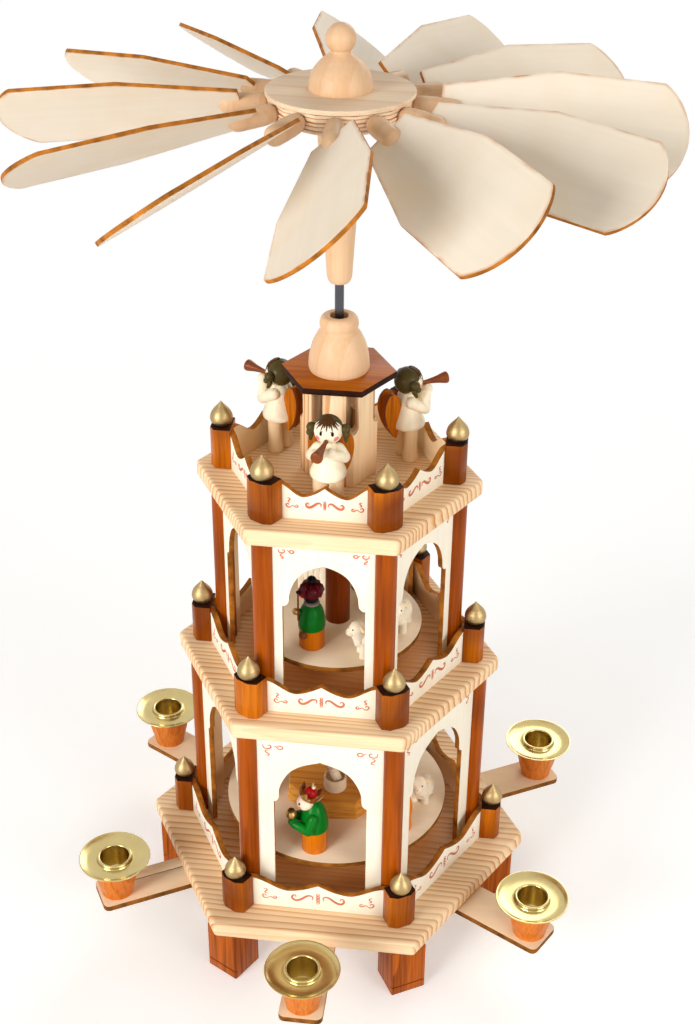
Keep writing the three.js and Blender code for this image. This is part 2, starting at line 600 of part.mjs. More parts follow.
function sheep(length, height, girth) {
  const back = height - girth;
  const parts = [
    new THREE.SphereGeometry(1, 8, 6).rotateZ(Math.PI / 2).scale(length / 2, girth, girth)
      .translate(length * 0.1, 0, back),
    bar([-0.32 * length, 0, back + 0.3 * girth], [-0.5 * length, 0, height - 0.2 * girth], 2.6, 2.4, 5),
    ball(3.3, -0.5 * length, 0, height - 0.2 * girth, 6, 4),
    bar([-0.5 * length, 0, height - 0.2 * girth], [-0.5 * length - 4.6, 0, height - 2.6], 2.5, 1.6, 5),
  ];
  for (const [x, y] of [[-0.16, -1], [-0.16, 1], [0.34, -1], [0.34, 1]]) {
    parts.push(bar([x * length, y * 0.5 * girth, 0], [x * length, y * 0.5 * girth, back], 1.5, 1.8, 4));
  }
  return union(parts.map(solid));
}

// Cradle: turned tub with the child lying back in it
const cradle = union([
  solid(turned([[0, 0], [5.6, 0], [5.8, 1.2], [5.6, 7.5], [4.9, 7.5], [4.6, 3.5], [0, 3.5]], 12)),
  solid(bar([1.8, 0, 3], [-0.6, 0, 9.6], 2.6, 2.4, 7)),
  solid(ball(2.6, -1.1, 0, 12, 7, 5)),
]);

// Each stands at an inset from the rim of what carries it, at a bearing, and faces a bearing
function stand(name, body, look, carrier, inset, bearingAngle, facing) {
  const r = carrier.rim - inset;
  addPiece(name, body, look, {
    x: r * Math.cos(radians(bearingAngle)),
    y: r * Math.sin(radians(bearingAngle)),
    z: carrier.top + SEAT_GAP,
    turn: facing - 180,
    group: rotor,
  });
}
const lowerDisc = { rim: lowerDiscR, top: lowerDiscTop };
const upperDisc = { rim: upperDiscR, top: upperDiscTop };
const stage = { rim: STAGE_R, top: stageTop };
stand("lower_king", crownedKing(), GREEN, lowerDisc, 10.4, -96.3, 195);
stand("cradle", cradle, TURNED, stage, 14.2, -86.3, 180);
stand("kneeling_figure", robedFigure(33), ORANGE, lowerDisc, 12.5, -35.2, 150);
stand("standing_figure", robedFigure(36), RED, lowerDisc, 11.5, 202.5, 20);
stand("lamb", sheep(14, 12.6, 5.6), FLEECE, lowerDisc, 11.3, -1.9, 255);
stand("upper_king", turbanedKing(), GREEN, upperDisc, 15.2, -110.9, 200);
stand("sheep_1", sheep(17, 13.5, 5), FLEECE, upperDisc, 7, -52.3, 200);
stand("sheep_2", sheep(15, 13, 4.8), FLEECE, upperDisc, 9.8, -6.6, 262);
stand("sheep_3", sheep(17, 13.5, 5), FLEECE, upperDisc, 11.8, 121.5, 170);
stand("back_figure", robedFigure(31), BROWN, upperDisc, 11.7, 72.8, 60);

export default root;
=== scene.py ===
"""Three-storey candle pyramid: pine storeys, stained columns, painted figures and a winged rotor.

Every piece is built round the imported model, in metres, with its place in its mesh.
"""
import math

import bpy
from mathutils import Matrix, Vector


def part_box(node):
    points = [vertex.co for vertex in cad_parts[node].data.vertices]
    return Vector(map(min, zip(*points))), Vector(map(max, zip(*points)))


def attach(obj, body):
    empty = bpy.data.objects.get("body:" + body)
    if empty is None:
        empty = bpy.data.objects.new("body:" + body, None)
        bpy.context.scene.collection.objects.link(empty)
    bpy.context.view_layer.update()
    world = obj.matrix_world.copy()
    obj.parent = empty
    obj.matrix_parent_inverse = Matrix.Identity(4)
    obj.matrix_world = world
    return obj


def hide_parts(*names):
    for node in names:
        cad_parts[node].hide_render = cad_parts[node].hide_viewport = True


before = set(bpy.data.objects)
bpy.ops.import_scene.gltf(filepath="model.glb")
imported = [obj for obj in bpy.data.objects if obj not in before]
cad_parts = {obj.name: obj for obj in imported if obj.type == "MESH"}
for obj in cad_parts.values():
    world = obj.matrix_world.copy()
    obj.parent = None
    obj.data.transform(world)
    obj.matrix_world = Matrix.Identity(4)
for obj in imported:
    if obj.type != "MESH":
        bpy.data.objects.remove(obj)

bl_info = {
    "name": "Candle pyramid",
    "version": (1, 0, 0),
    "blender": (4, 5, 0),
    "location": "View3D > Sidebar > Pyramid",
    "description": "Builds a three-storey wooden candle pyramid round its packed model",
    "category": "Object",
}

# One millimetre in metres, and the bearings of the hexagon's corners and sides (degrees)
MM = 0.001
SIDES = 6
CORNERS = [60 * i for i in range(SIDES)]
FLANKS = [60 * i + 30 for i in range(SIDES)]
COS30 = math.cos(math.pi / 6)

# Radii of the plates' hole for the shaft, the bell's bore and the circle of the angels (mm)
SHAFT_HOLE = 3.6
GUIDE_BORE = 2.4
ANGEL_CIRCLE = 33.95

# Drip dish below its socket's top, pegs above the hub's underside, and air under a figure (mm)
DISH_DROP = 3
PEG_HEIGHT = 6.8
FIGURE_GAP = 0.05

# Bearings of the arm that has split and of a corner of the eight-sided stage (degrees)
SPLIT_ARM = 210
STAGE_CORNER = -106

# A blade's root (distance and half width), its shoulder, the start of its round tip and the tip's reach (mm)
BLADE_ROOT = (39.85, 10.45)
BLADE_SHOULDER = 86
BLADE_END = 128.4
BLADE_TIP = 10.9

# A face is a top or an underside if its normal's Z is beyond FLAT, and a sawn outline if it has more
# corners than OUTLINE_CORNERS
FLAT = 0.8
OUTLINE_CORNERS = 20

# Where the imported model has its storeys
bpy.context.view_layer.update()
BASE_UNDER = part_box("base_plate")[0].z
BASE_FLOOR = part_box("lower_arcade")[0].z
MIDDLE_UNDER, MIDDLE_FLOOR = (corner.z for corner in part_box("middle_plate"))
TOP_UNDER, TOP_FLOOR = (corner.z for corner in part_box("top_plate"))
ROOF_UNDER, ROOF_TOP = (corner.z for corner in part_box("roof_plate"))
FERRULE_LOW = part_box("ferrule")[0].z
HUB_LOW, HUB_TOP = (corner.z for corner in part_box("hub"))
LOWER_DISC_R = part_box("lower_turntable")[1].x
UPPER_DISC_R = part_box("upper_turntable")[1].x
SOCKET_CIRCLE = sum(corner.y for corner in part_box("candle_socket_2")) / 2
SOCKET_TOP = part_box("candle_socket_1")[1].z
LOWER_DISC_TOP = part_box("lower_king")[0].z - FIGURE_GAP * MM
UPPER_DISC_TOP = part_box("upper_king")[0].z - FIGURE_GAP * MM


def length(label, about, millimetres):
    return bpy.props.FloatProperty(
        name=label, description=about, default=millimetres * MM, min=0, unit="LENGTH", precision=5)


def degrees(label, about, value):
    return bpy.props.FloatProperty(
        name=label, description=about, default=math.radians(value), subtype="ANGLE")


def colour(label, about, red, green, blue):
    """A colour property, written as 0 to 255 and kept linear."""
    linear = [((c / 255 + 0.055) / 1.055) ** 2.4 if c > 10 else c / 255 / 12.92
              for c in (red, green, blue)]
    return bpy.props.FloatVectorProperty(
        name=label, description=about, default=linear, min=0, max=1, subtype="COLOR")


class PyramidStand(bpy.types.PropertyGroup):
    """Sizes of plates, feet, candle arms and sockets."""
    plate_ease: length("Plate edge", "Width of the rounding on the plates' upper edge", 2.0)
    foot_width: length("Foot width", "Side of a square foot", 17.5)
    foot_out: length("Foot reach", "Axis to the outer face of a foot", 92.0)
    kerf_height: length("Kerf height", "Saw kerf above the foot's underside", 5.0)
    arm_width: length("Arm width", "Width of a candle arm", 20.5)
    arm_thickness: length("Arm thickness", "Thickness of a candle arm", 3.0)
    arm_in: length("Arm root", "Axis to the inner end of an arm", 59.8)
    arm_out: length("Arm end", "Axis to the outer end of an arm", 127.5)
    cup_foot: length("Cup foot", "Radius of the wooden cup at its foot", 7.8)
    cup_mouth: length("Cup mouth", "Radius of the wooden cup at its mouth", 11.0)
    dish: length("Drip dish", "Radius of the brass drip dish", 17.5)
    candle: length("Candle hole", "Radius of the hole for a 14 mm candle", 7.0)


class PyramidStoreys(bpy.types.PropertyGroup):
    """Sizes of arcades, galleries, turret and bell."""
    column: length("Column", "Radius of a column", 4.85)
    lower_columns: length("Lower column circle", "Axis to the lower columns' axes", 68.31)
    upper_columns: length("Upper column circle", "Axis to the upper columns' axes", 54.37)
    panel: length("Panel", "Thickness of an arch panel", 2.6)
    lower_posts: length("Lower post circle", "Axis to the lowest gallery's posts", 79.8)
    middle_posts: length("Middle post circle", "Axis to the middle gallery's posts", 65.86)
    top_posts: length("Top post circle", "Axis to the top gallery's posts", 53.17)
    post_width: length("Post width", "Width of a gallery post", 13.6)
    post_height: length("Post height", "Height of a gallery post", 19.7)
    finial: length("Finial", "Radius of a finial", 5.1)
    finial_height: length("Finial height", "Height of a finial", 11.6)
    fence: length("Fence", "Thickness of a fence", 3.0)
    fence_back: length("Fence setback", "Fence face behind the line through the posts", 1.3)
    turret: length("Turret", "Corner radius of the turret", 17.4)
    turret_bore: length("Turret bore", "Radius of the turret's bore", 11.5)
    slot: length("Turret slot", "Width of a slot in the turret", 6.1)
    sill: length("Turret sill", "Lowest point of a slot above the plate", 26.2)
    roof: length("Roof", "Corner radius of the roof plate", 25.5)
    bell: length("Bell", "Radius of the bell-shaped shaft guide", 13.4)


class PyramidRotor(bpy.types.PropertyGroup):
    """Sizes of shaft, hub, wings and turntables."""
    shaft: length("Shaft", "Radius of the steel shaft", 2.0)
    ferrule: length("Ferrule", "Radius of the ferrule under the hub", 9.8)
    hub: length("Hub", "Hub axis to one of its twelve flats", 28.5)
    cover: length("Hub cover", "Radius of the disc on the hub", 30.15)
    dome: length("Dome", "Radius of the dome on the hub", 12.8)
    knob: length("Knob", "Radius of the ball on the dome", 6.1)
    peg: length("Peg", "Radius of a wing's peg", 4.2)
    blade: length("Blade", "Thickness of a wing's blade", 1.7)
    blade_width: length("Blade width", "Width of a wing's blade", 44.5)
    pitch: degrees("Pitch", "Usual pitch of the blades", 38.6)
    droop: degrees("Droop", "Fall of the pegs below the horizontal", 5.2)
    bearing: degrees("First wing", "Bearing of the first wing", -86.4)
    disc: length("Turntable", "Thickness of a turntable", 2.6)
    sleeve: length("Sleeve", "Radius of a turntable's sleeve", 5.9)
    stage: length("Stage", "Corner radius of the eight-sided stage", 26.5)
    stage_layer: length("Stage layer", "Thickness of a layer of the stage", 5.35)


class PyramidWoods(bpy.types.PropertyGroup):
    """Colours of the woods."""
    pine: colour("Pine", "Early wood of the plates", 250, 224, 184)
    pine_line: colour("Pine lines", "Late wood of the plates", 204, 130, 60)
    turned: colour("Turned wood", "Pale turned pieces", 222, 187, 150)
    turned_line: colour("Turned wood lines", "Grain of the turned pieces", 206, 152, 104)
    stain: colour("Stain", "Stain of the columns", 174, 82, 0)
    post: colour("Posts", "Stain of the gallery posts", 205, 112, 10)
    stain_line: colour("Stain streaks", "Dark streaks in the stain", 118, 46, 0)
    foot: colour("Foot stain", "Stained feet", 190, 96, 24)
    foot_line: colour("Foot streaks", "Dark grain of the feet", 98, 40, 8)
    burnt: colour("Burnt edge", "Edges browned by the laser", 196, 122, 44)
    scorched: colour("Scorched", "Blackened tops and kerfs", 48, 22, 10)
    roof: colour("Roof", "Stained roof plate", 180, 100, 8)
    panel: colour("Panel", "Painted plywood of panels and fences", 246, 238, 220)
    arm: colour("Arm plywood", "Plywood of the candle arms", 242, 216, 182)
    blade: colour("Blade plywood", "Plywood of the wings", 241, 229, 211)
    disc: colour("Turntable", "Pale turntable discs", 241, 221, 192)
    stage: colour("Stage", "Golden pine of the stage", 226, 166, 72)


class PyramidPaints(bpy.types.PropertyGroup):
    """Colours of the paints and metals."""
    scroll: colour("Scrolls", "Thin printed scrolls", 204, 118, 90)
    brass: colour("Brass", "Polished brass sockets", 206, 186, 128)
    bronze: colour("Bronze paint", "Painted finials", 178, 152, 106)
    steel: colour("Steel", "Ground steel shaft", 92, 92, 96)
    cup: colour("Cup", "Stained cups under the sockets", 220, 126, 48)
    cream: colour("Cream", "Angels' dresses", 250, 234, 206)
    skin: colour("Skin", "Faces of the small figures", 244, 222, 196)
    cheek: colour("Cheeks", "Rosy cheeks", 236, 132, 128)
    hair: colour("Hair", "Angels' hair", 76, 64, 30)
    wing: colour("Small wings", "Angels' wings", 200, 112, 12)
    horn: colour("Trumpet", "Angels' trumpets", 128, 66, 30)
    green: colour("Green", "Green coats", 0, 112, 26)
    orange: colour("Orange", "Orange skirts", 222, 122, 2)
    red: colour("Red", "Red coats", 176, 22, 20)
    crimson: colour("Crimson", "Turban", 92, 4, 18)
    brown: colour("Brown", "Brown coats and ears", 94, 58, 26)
    black: colour("Black", "Eyes and dark skin", 16, 10, 10)
    gold: colour("Gold", "Crown and gifts", 186, 146, 84)
    grey: colour("Grey", "Grey skirt", 150, 140, 128)
    fleece: colour("Fleece", "Cream fleece", 242, 230, 206)


def settings(group):
    return getattr(bpy.context.scene, "pyramid_" + group)


# Modelling


def deselect():
    if bpy.context.mode != "OBJECT":
        bpy.ops.object.mode_set(mode="OBJECT")
    bpy.ops.object.select_all(action="DESELECT")


def select(*pieces):
    """Selects only these objects, the first one active."""
    deselect()
    for piece in pieces:
        piece.select_set(True)
    bpy.context.view_layer.objects.active = pieces[0]


def take(name):
    """Names the object that an operator has just added."""
    piece = bpy.context.active_object
    piece.name = name
    piece.data.name = name
    return piece


def settle(piece, matrix=None):
    """Puts the object's place, turn and size into its mesh, after a further move if one is given."""
    select(piece)
    if matrix is not None:
        piece.matrix_basis = matrix @ piece.matrix_basis
    bpy.ops.object.transform_apply(location=True, rotation=True, scale=True)
    return piece


def turn(angle, axis="Z"):
    return Matrix.Rotation(math.radians(angle), 4, axis)


def shift(x=0.0, y=0.0, z=0.0):
    return Matrix.Translation((x, y, z))


def copied(piece, name, matrix):
    """A copy with its own mesh, moved by the matrix."""
    select(piece)
    bpy.ops.object.duplicate()
    return settle(take(name), matrix)


def joined(name, pieces):
    """Several objects as one, under a new name."""
    select(*pieces)
    if len(pieces) > 1:
        bpy.ops.object.join()
    return take(name)


def removed(piece):
    select(piece)
    bpy.ops.object.delete()


def around(piece, name, bearings):
    """Copies turned to each bearing, joined into one piece."""
    copies = [copied(piece, name, turn(bearing)) for bearing in bearings]
    removed(piece)
    return joined(name, copies)


def numbered(piece, name, bearings, slot, replaced):
    """Numbered copies turned to each bearing on the stand, each in place of a numbered node."""
    for i, bearing in enumerate(bearings, 1):
        ride(copied(piece, f"{name}_{i}", turn(bearing)), "stand", slot, f"{replaced}_{i}")
    removed(piece)


def outward(piece):
    """Turns the faces of a closed mesh outward."""
    select(piece)
    bpy.ops.object.mode_set(mode="EDIT")
    bpy.ops.mesh.select_all(action="SELECT")
    bpy.ops.mesh.remove_doubles(threshold=1e-6)
    bpy.ops.mesh.normals_make_consistent(inside=False)
    bpy.ops.object.mode_set(mode="OBJECT")
    return piece


def soften(piece, width, angle=40):
    """Rounds the piece's sharp edges."""
    select(piece)
    bpy.ops.object.modifier_add(type="BEVEL")
    bevel = piece.modifiers[-1]
    bevel.width = width
    bevel.segments = 2
    bevel.limit_method = "ANGLE"
    bevel.angle_limit = math.radians(angle)
    bpy.ops.object.modifier_apply(modifier=bevel.name)
    return piece


def smooth(piece, angle=38):
    select(piece)
    bpy.ops.object.shade_smooth_by_angle(angle=math.radians(angle))
    return piece


def cut(piece, cutters):
    """Cuts the cutters out of the piece."""
    for cutter in cutters:
        select(piece)
        bpy.ops.object.modifier_add(type="BOOLEAN")
        boolean = piece.modifiers[-1]
        boolean.operation = "DIFFERENCE"
        boolean.solver = "EXACT"
        boolean.object = cutter
        bpy.ops.object.modifier_apply(modifier=boolean.name)
        removed(cutter)
    return piece


def extrude_upward(height):
    """Makes a prism of the active object's flat face."""
    bpy.ops.object.mode_set(mode="EDIT")
    bpy.ops.mesh.select_all(action="SELECT")
    bpy.ops.mesh.extrude_region_move(TRANSFORM_OT_translate={"value": (0, 0, height)})
    bpy.ops.mesh.select_all(action="SELECT")
    bpy.ops.mesh.normals_make_consistent(inside=False)
    bpy.ops.object.mode_set(mode="OBJECT")


def coated(piece, *names):
    """Gives the piece its finishes, the first one on all faces."""
    piece.data.materials.clear()
    for name in names:
        piece.data.materials.append(material(name))
    return piece


def second_coat(piece, name, picked):
    """Gives a piece with one finish another one on the faces that are picked."""
    piece.data.materials.append(material(name))
    for face in piece.data.polygons:
        face.material_index = int(picked(face))


def curved(points, steps=4):
    """A smooth line through the points, as more points."""
    line = []
    for i in range(len(points) - 1):
        a, b = points[max(i - 1, 0)], points[i]
        c, d = points[i + 1], points[min(i + 2, len(points) - 1)]
        for k in range(steps):
            t = k / steps
            line.append(tuple(
                0.5 * (2 * q + (r - p) * t + (2 * p - 5 * q + 4 * r - s) * t * t
                       + (3 * q - p - 3 * r + s) * t ** 3)
                for p, q, r, s in zip(a, b, c, d)))
    line.append(tuple(points[-1]))
    return line


def turned(name, finish, rings, segments=40):
    """A turned piece about Z: a disc, extruded and scaled ring by ring ([radius, height] in mm)."""
    tip = 0.02 * MM
    rings = [(max(r * MM, tip), z * MM) for r, z in rings]
    (radius, height), *others = rings
    deselect()
    bpy.ops.mesh.primitive_circle_add(
        vertices=segments, radius=radius, fill_type="NGON", location=(0, 0, height))
    piece = take(name)
    bpy.ops.object.mode_set(mode="EDIT")
    bpy.ops.mesh.select_all(action="SELECT")
    for next_radius, next_height in others:
        bpy.ops.mesh.extrude_region_move(
            TRANSFORM_OT_translate={"value": (0, 0, next_height - height)})
        ratio = next_radius / radius
        bpy.ops.transform.resize(value=(ratio, ratio, 1), center_override=(0, 0, next_height))
        radius, height = next_radius, next_height
    bpy.ops.mesh.select_all(action="SELECT")
    bpy.ops.mesh.normals_make_consistent(inside=False)
    bpy.ops.object.mode_set(mode="OBJECT")
    coated(piece, finish)
    return smooth(settle(piece))


def sawn(name, outline, thickness, face, edge, ease=0.0, back=None):
    """A flat piece sawn to an outline (mm, anticlockwise) in XY, rising from z = 0."""
    deselect()
    bpy.ops.mesh.primitive_circle_add(vertices=len(outline), radius=MM, fill_type="NGON")
    piece = take(name)
    for vertex, (x, y) in zip(piece.data.vertices, outline):
        vertex.co = (x * MM, y * MM, 0)
    extrude_upward(thickness)
    if ease:
        soften(piece, ease)
    coated(piece, face, edge, back or face)
    for polygon in piece.data.polygons:
        up = polygon.normal.z
        polygon.material_index = 0 if up > FLAT else 2 if up < -FLAT else 1
    return smooth(piece, 30)


def bordered(piece, width):
    """Insets the two sawn outlines of a piece, and saves where it browns and where its grain runs."""
    for polygon in piece.data.polygons:
        polygon.select = len(polygon.vertices) > OUTLINE_CORNERS
    bpy.ops.object.mode_set(mode="EDIT")
    bpy.ops.mesh.select_mode(type="FACE")
    bpy.ops.mesh.inset(thickness=width, depth=0)
    bpy.ops.object.mode_set(mode="OBJECT")
    inner = {v for polygon in piece.data.polygons
             if len(polygon.vertices) > OUTLINE_CORNERS for v in polygon.vertices}
    mark = piece.data.attributes.new("browning", "FLOAT", "POINT")
    for i, value in enumerate(mark.data):
        value.value = 0.0 if i in inner else 1.0
    grain = piece.data.attributes.new("grain", "FLOAT_VECTOR", "POINT")
    for vertex, value in zip(piece.data.vertices, grain.data):
        value.vector = vertex.co
    return piece


def stood(piece, distance, height, thickness):
    """Stands a sawn piece upright, its upper face outward at a distance from the axis, facing -Y."""
    return settle(piece, shift(y=thickness - distance, z=height) @ turn(90, "X"))


def hexagon(name, radius, low, high, face):
    """A six-sided prism with two of its corners on the X axis."""
    deselect()
    bpy.ops.mesh.primitive_circle_add(
        vertices=SIDES, radius=radius, fill_type="NGON", location=(0, 0, low),
        rotation=(0, 0, math.radians(30)))
    piece = settle(take(name))
    extrude_upward(high - low)
    return coated(piece, face)


def aimed(piece, start, end):
    """Moves a piece that rises from the origin to a start, pointing at an end (vectors in mm)."""
    aim = (end - start).to_track_quat("Z", "Y").to_matrix().to_4x4()
    return settle(piece, Matrix.Translation(start * MM) @ aim)


def limb(name, finish, start, end, first, last, segments=16):
    """A round-ended bar between two points (mm), with its two radii."""
    a, b = Vector(start), Vector(end)
    span = (b - a).length
    rings = [(first * math.sin(t * math.pi / 8), -first * math.cos(t * math.pi / 8))
             for t in range(1, 5)]
    rings += [(last * math.cos(t * math.pi / 8), span + last * math.sin(t * math.pi / 8))
              for t in range(0, 4)]
    return aimed(turned(name, finish, rings + [(0, span + last)], segments), a, b)


def traced(name, finish, points, widths):
    """A thin round line through points (mm), with a half width at each point."""
    deselect()
    bpy.ops.curve.primitive_nurbs_path_add()
    piece = take(name)
    line = piece.data
    line.splines.clear()
    spline = line.splines.new("POLY")
    spline.points.add(len(points) - 1)
    for point, place, width in zip(spline.points, points, widths):
        point.co = (*[c * MM for c in place], 1)
        point.radius = width
    line.bevel_depth = MM
    line.bevel_resolution = 1
    line.use_fill_caps = True
    bpy.ops.object.convert(target="MESH")
    coated(piece, finish)
    return smooth(outward(settle(piece)), 60)


def pen(height, points):
    """A flat pen stroke through points (mm) on the upper face of a sawn piece."""
    line = curved(points, 3)
    last = len(line) - 1
    widths = [0.17 + 0.2 * math.sin(math.pi * i / last) for i in range(last)] + [0.26]
    stroke = traced("stroke", "scroll", [(x, y, 0) for x, y in line], widths)
    return settle(stroke, shift(z=height) @ Matrix.Scale(0.25, 4, (0, 0, 1)))


def ribbon(points, wide):
    """The two edges of a ribbon that is widest halfway along a line of points (mm)."""
    sides = ([], [])
    last = len(points) - 1
    for i, (x, y) in enumerate(points):
        ahead, behind = points[min(i + 1, last)], points[max(i - 1, 0)]
        way = Vector((ahead[0] - behind[0], ahead[1] - behind[1])).normalized()
        off = wide * math.sin(math.pi * i / last)
        for line, side in zip(sides, (-off, off)):
            line.append((x - way.y * side, y + way.x * side))
    return sides


def mirrored(points):
    return [(-x, y) for x, y in points]


def ball(name, finish, centre, radius, scale=(1, 1, 1), segments=20):
    """A ball or egg of the given radius (mm)."""
    deselect()
    bpy.ops.mesh.primitive_uv_sphere_add(
        segments=segments, ring_count=segments // 2, radius=radius * MM,
        location=[c * MM for c in centre])
    piece = take(name)
    piece.scale = scale
    settle(piece)
    coated(piece, finish)
    return smooth(piece, 60)


def block(name, finish, size, centre, ease=0.0):
    """A block (mm), its edges softened by the ease."""
    deselect()
    bpy.ops.mesh.primitive_cube_add(size=MM, location=[c * MM for c in centre])
    piece = take(name)
    piece.scale = size
    settle(piece)
    if ease:
        soften(piece, ease * MM)
    coated(piece, finish)
    return smooth(piece)


def ride(piece, body, slot, *replaced):
    """Fixes a finished piece to its body and hides the nodes it stands for; slot, the name of its finish, is
    not used.
    """
    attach(piece, body)
    if replaced:
        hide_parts(*replaced)
    return piece


# Finishes

# How a place is turned to put the grain along X, and the colour of the painted shade on a plate's middle,
# where the storey above shades it
GRAIN_TURNS = {"X": (0, 0, 0), "Z": (0, math.pi / 2, 0)}
PAINTED_SHADE_TONE = (0.86, 0.34, 0.06)
WHITE = (1, 1, 1, 1)


def node(tree, kind, sockets=None, **values):
    """Adds a shader node; a socket given another node's output is linked to it."""
    made = tree.nodes.new("ShaderNode" + kind)
    for key, value in values.items():
        setattr(made, key, value)
    for key, value in (sockets or {}).items():
        if isinstance(value, bpy.types.NodeSocket):
            tree.links.new(value, made.inputs[key])
        else:
            made.inputs[key].default_value = value
    return made


def maths(tree, operation, *values, clamp=False):
    """The result of an operation on up to three numbers or sockets."""
    return node(tree, "Math", dict(enumerate(values)), operation=operation, use_clamp=clamp).outputs[0]


def place_on(tree):
    """Where a point lies on its object."""
    return node(tree, "TexCoord").outputs["Object"]


def mapped(tree, vector, **changes):
    """A vector with another Location, Rotation or Scale."""
    return node(tree, "Mapping", {"Vector": vector, **changes}).outputs["Vector"]


def reach_of(tree, vector):
    """The length of a vector."""
    return node(tree, "VectorMath", {0: vector}, operation="LENGTH").outputs["Value"]


def along_axes(tree, vector):
    """The X, Y and Z of a vector, by name."""
    return node(tree, "SeparateXYZ", {0: vector}).outputs


def noise(tree, vector, scale, detail):
    return node(tree, "TexNoise", {"Vector": vector, "Scale": scale, "Detail": detail}).outputs["Fac"]


def ramp(tree, factor, low, high, first=0.0, last=1.0):
    """Takes the part of a value from low to high to the part from first to last."""
    made = node(tree, "MapRange", {
        "Value": factor, "From Min": low, "From Max": high, "To Min": first, "To Max": last})
    return made.outputs["Result"]


def mixed(tree, factor, first, second):
    """A blend of two colours or sockets."""
    return node(tree, "Mix", {"Factor": factor, 6: first, 7: second}, data_type="RGBA").outputs[2]


def rgba(value, gain=1.0):
    return (*[min(1.0, c * gain) for c in value], 1.0)


def blank(roughness, metallic=0.0, coat=0.0):
    """An empty Principled material, its tree and its shader."""
    made = bpy.data.materials.new("finish")
    made.use_nodes = True
    shader = made.node_tree.nodes["Principled BSDF"]
    shader.inputs["Roughness"].default_value = roughness
    shader.inputs["Metallic"].default_value = metallic
    shader.inputs["Coat Weight"].default_value = coat
    shader.inputs["Coat Roughness"].default_value = 0.1
    shader.inputs["Specular IOR Level"].default_value = 0.5 if metallic else 0.08
    return made, made.node_tree, shader


def roughen(tree, shader, height, depth):
    """Bump of the given depth in metres."""
    bump = node(tree, "Bump", {"Height": height, "Strength": 1.0, "Distance": depth})
    tree.links.new(bump.outputs["Normal"], shader.inputs["Normal"])


def grained(pale, line, along, roughness, ring=3.0, centre=(0, -0.15, -0.06), ripple=2.5,
            contrast=0.8, fibre=0.35, coat=0.0, ends=0.0, shade_within=0.0, uneven=0.0):
    """Wood: growth rings about a line along the grain, fine fibres, and slow changes of tone.

    A growth ring is ring mm wide, and ends says how much more the rings show on end grain. Inside a radius in
    metres the wood is darkened to a warm brown as painted shade from the storey above, and uneven is how far
    the tone changes from one post to the next."""
    made, tree, shader = blank(roughness, coat=coat)
    place = place_on(tree)
    local = mapped(tree, place, Rotation=GRAIN_TURNS[along])
    heart = mapped(tree, local, Location=[-c for c in centre])
    straight = mapped(tree, heart, Scale=(0.12, 1, 1))
    drift = node(tree, "TexNoise", {"Vector": straight, "Scale": 0.1 / (ring * MM), "Detail": 1.0})
    swing = 6 * ring * MM
    swayed = node(tree, "VectorMath", {0: drift.outputs["Color"], 1: (0, swing, swing), 2: straight},
                  operation="MULTIPLY_ADD").outputs["Vector"]
    rings = node(tree, "TexWave", {
        "Vector": swayed, "Scale": 0.314 / (ring * MM), "Distortion": ripple,
        "Detail": 2.0, "Detail Scale": 0.5}, wave_type="RINGS", rings_direction="X", wave_profile="SAW")
    fibres = noise(tree, mapped(tree, local, Scale=(30, 900, 900)), 1.0, 3.0)
    fine = ramp(tree, fibres, 0.4, 0.7)
    tone = ramp(tree, noise(tree, swayed, 60.0, 1.0), 0.3, 0.75)
    late = maths(tree, "POWER", ramp(tree, rings.outputs["Fac"], 0.15, 0.95), 2.2)
    late = maths(tree, "MULTIPLY", late, maths(tree, "MULTIPLY_ADD", tone, 0.6, 0.55))
    if ends:
        facing = along_axes(tree, node(tree, "NewGeometry").outputs["Normal"])
        across, front = (maths(tree, "ABSOLUTE", facing[axis]) for axis in "XY")
        contrast = maths(tree, "MULTIPLY_ADD", across, ends, contrast)
        contrast = maths(tree, "MULTIPLY_ADD", front, -1.15 * ends, contrast)
    weight = maths(tree, "MULTIPLY", late, contrast)
    added = maths(tree, "MULTIPLY_ADD", fine, fibre, weight, clamp=True)
    wood = mixed(tree, added, rgba(pale), rgba(line))
    shaded = mixed(tree, tone, wood, mixed(tree, 0.2, wood, rgba(line)))
    # Painted shade: inside the radius the plate is darkened towards a warm brown, as if shaded by the storey
    # above
    if shade_within:
        reach = reach_of(tree, mapped(tree, place, Scale=(1, 1, 0)))
        painted_shade = ramp(tree, reach, shade_within - 0.004, shade_within + 0.008, 0.7, 0.0)
        shaded = mixed(tree, painted_shade, shaded, rgba(PAINTED_SHADE_TONE))
    if uneven:
        broad = ramp(tree, noise(tree, place, 22.0, 1.0), 0.44, 0.62)
        shaded = mixed(tree, maths(tree, "MULTIPLY", broad, uneven), shaded, rgba(line, 0.7))
    tree.links.new(shaded, shader.inputs["Base Color"])
    roughen(tree, shader, fibres, 0.00003)
    return made


def painted(tint, roughness, coat=0.0, metallic=0.0, mottle=0.1, depth=0.00002):
    """Brushed paint or a plain finish: small shifts of tone and a faint unevenness."""
    made, tree, shader = blank(roughness, metallic, coat)
    place = place_on(tree)
    tone = ramp(tree, noise(tree, place, 220.0, 4.0), 0.3, 0.7)
    pair = mixed(tree, tone, rgba(tint, 1 - mottle), rgba(tint, 1 + mottle))
    tree.links.new(pair, shader.inputs["Base Color"])
    roughen(tree, shader, noise(tree, place, 1100.0, 2.0), depth)
    return made


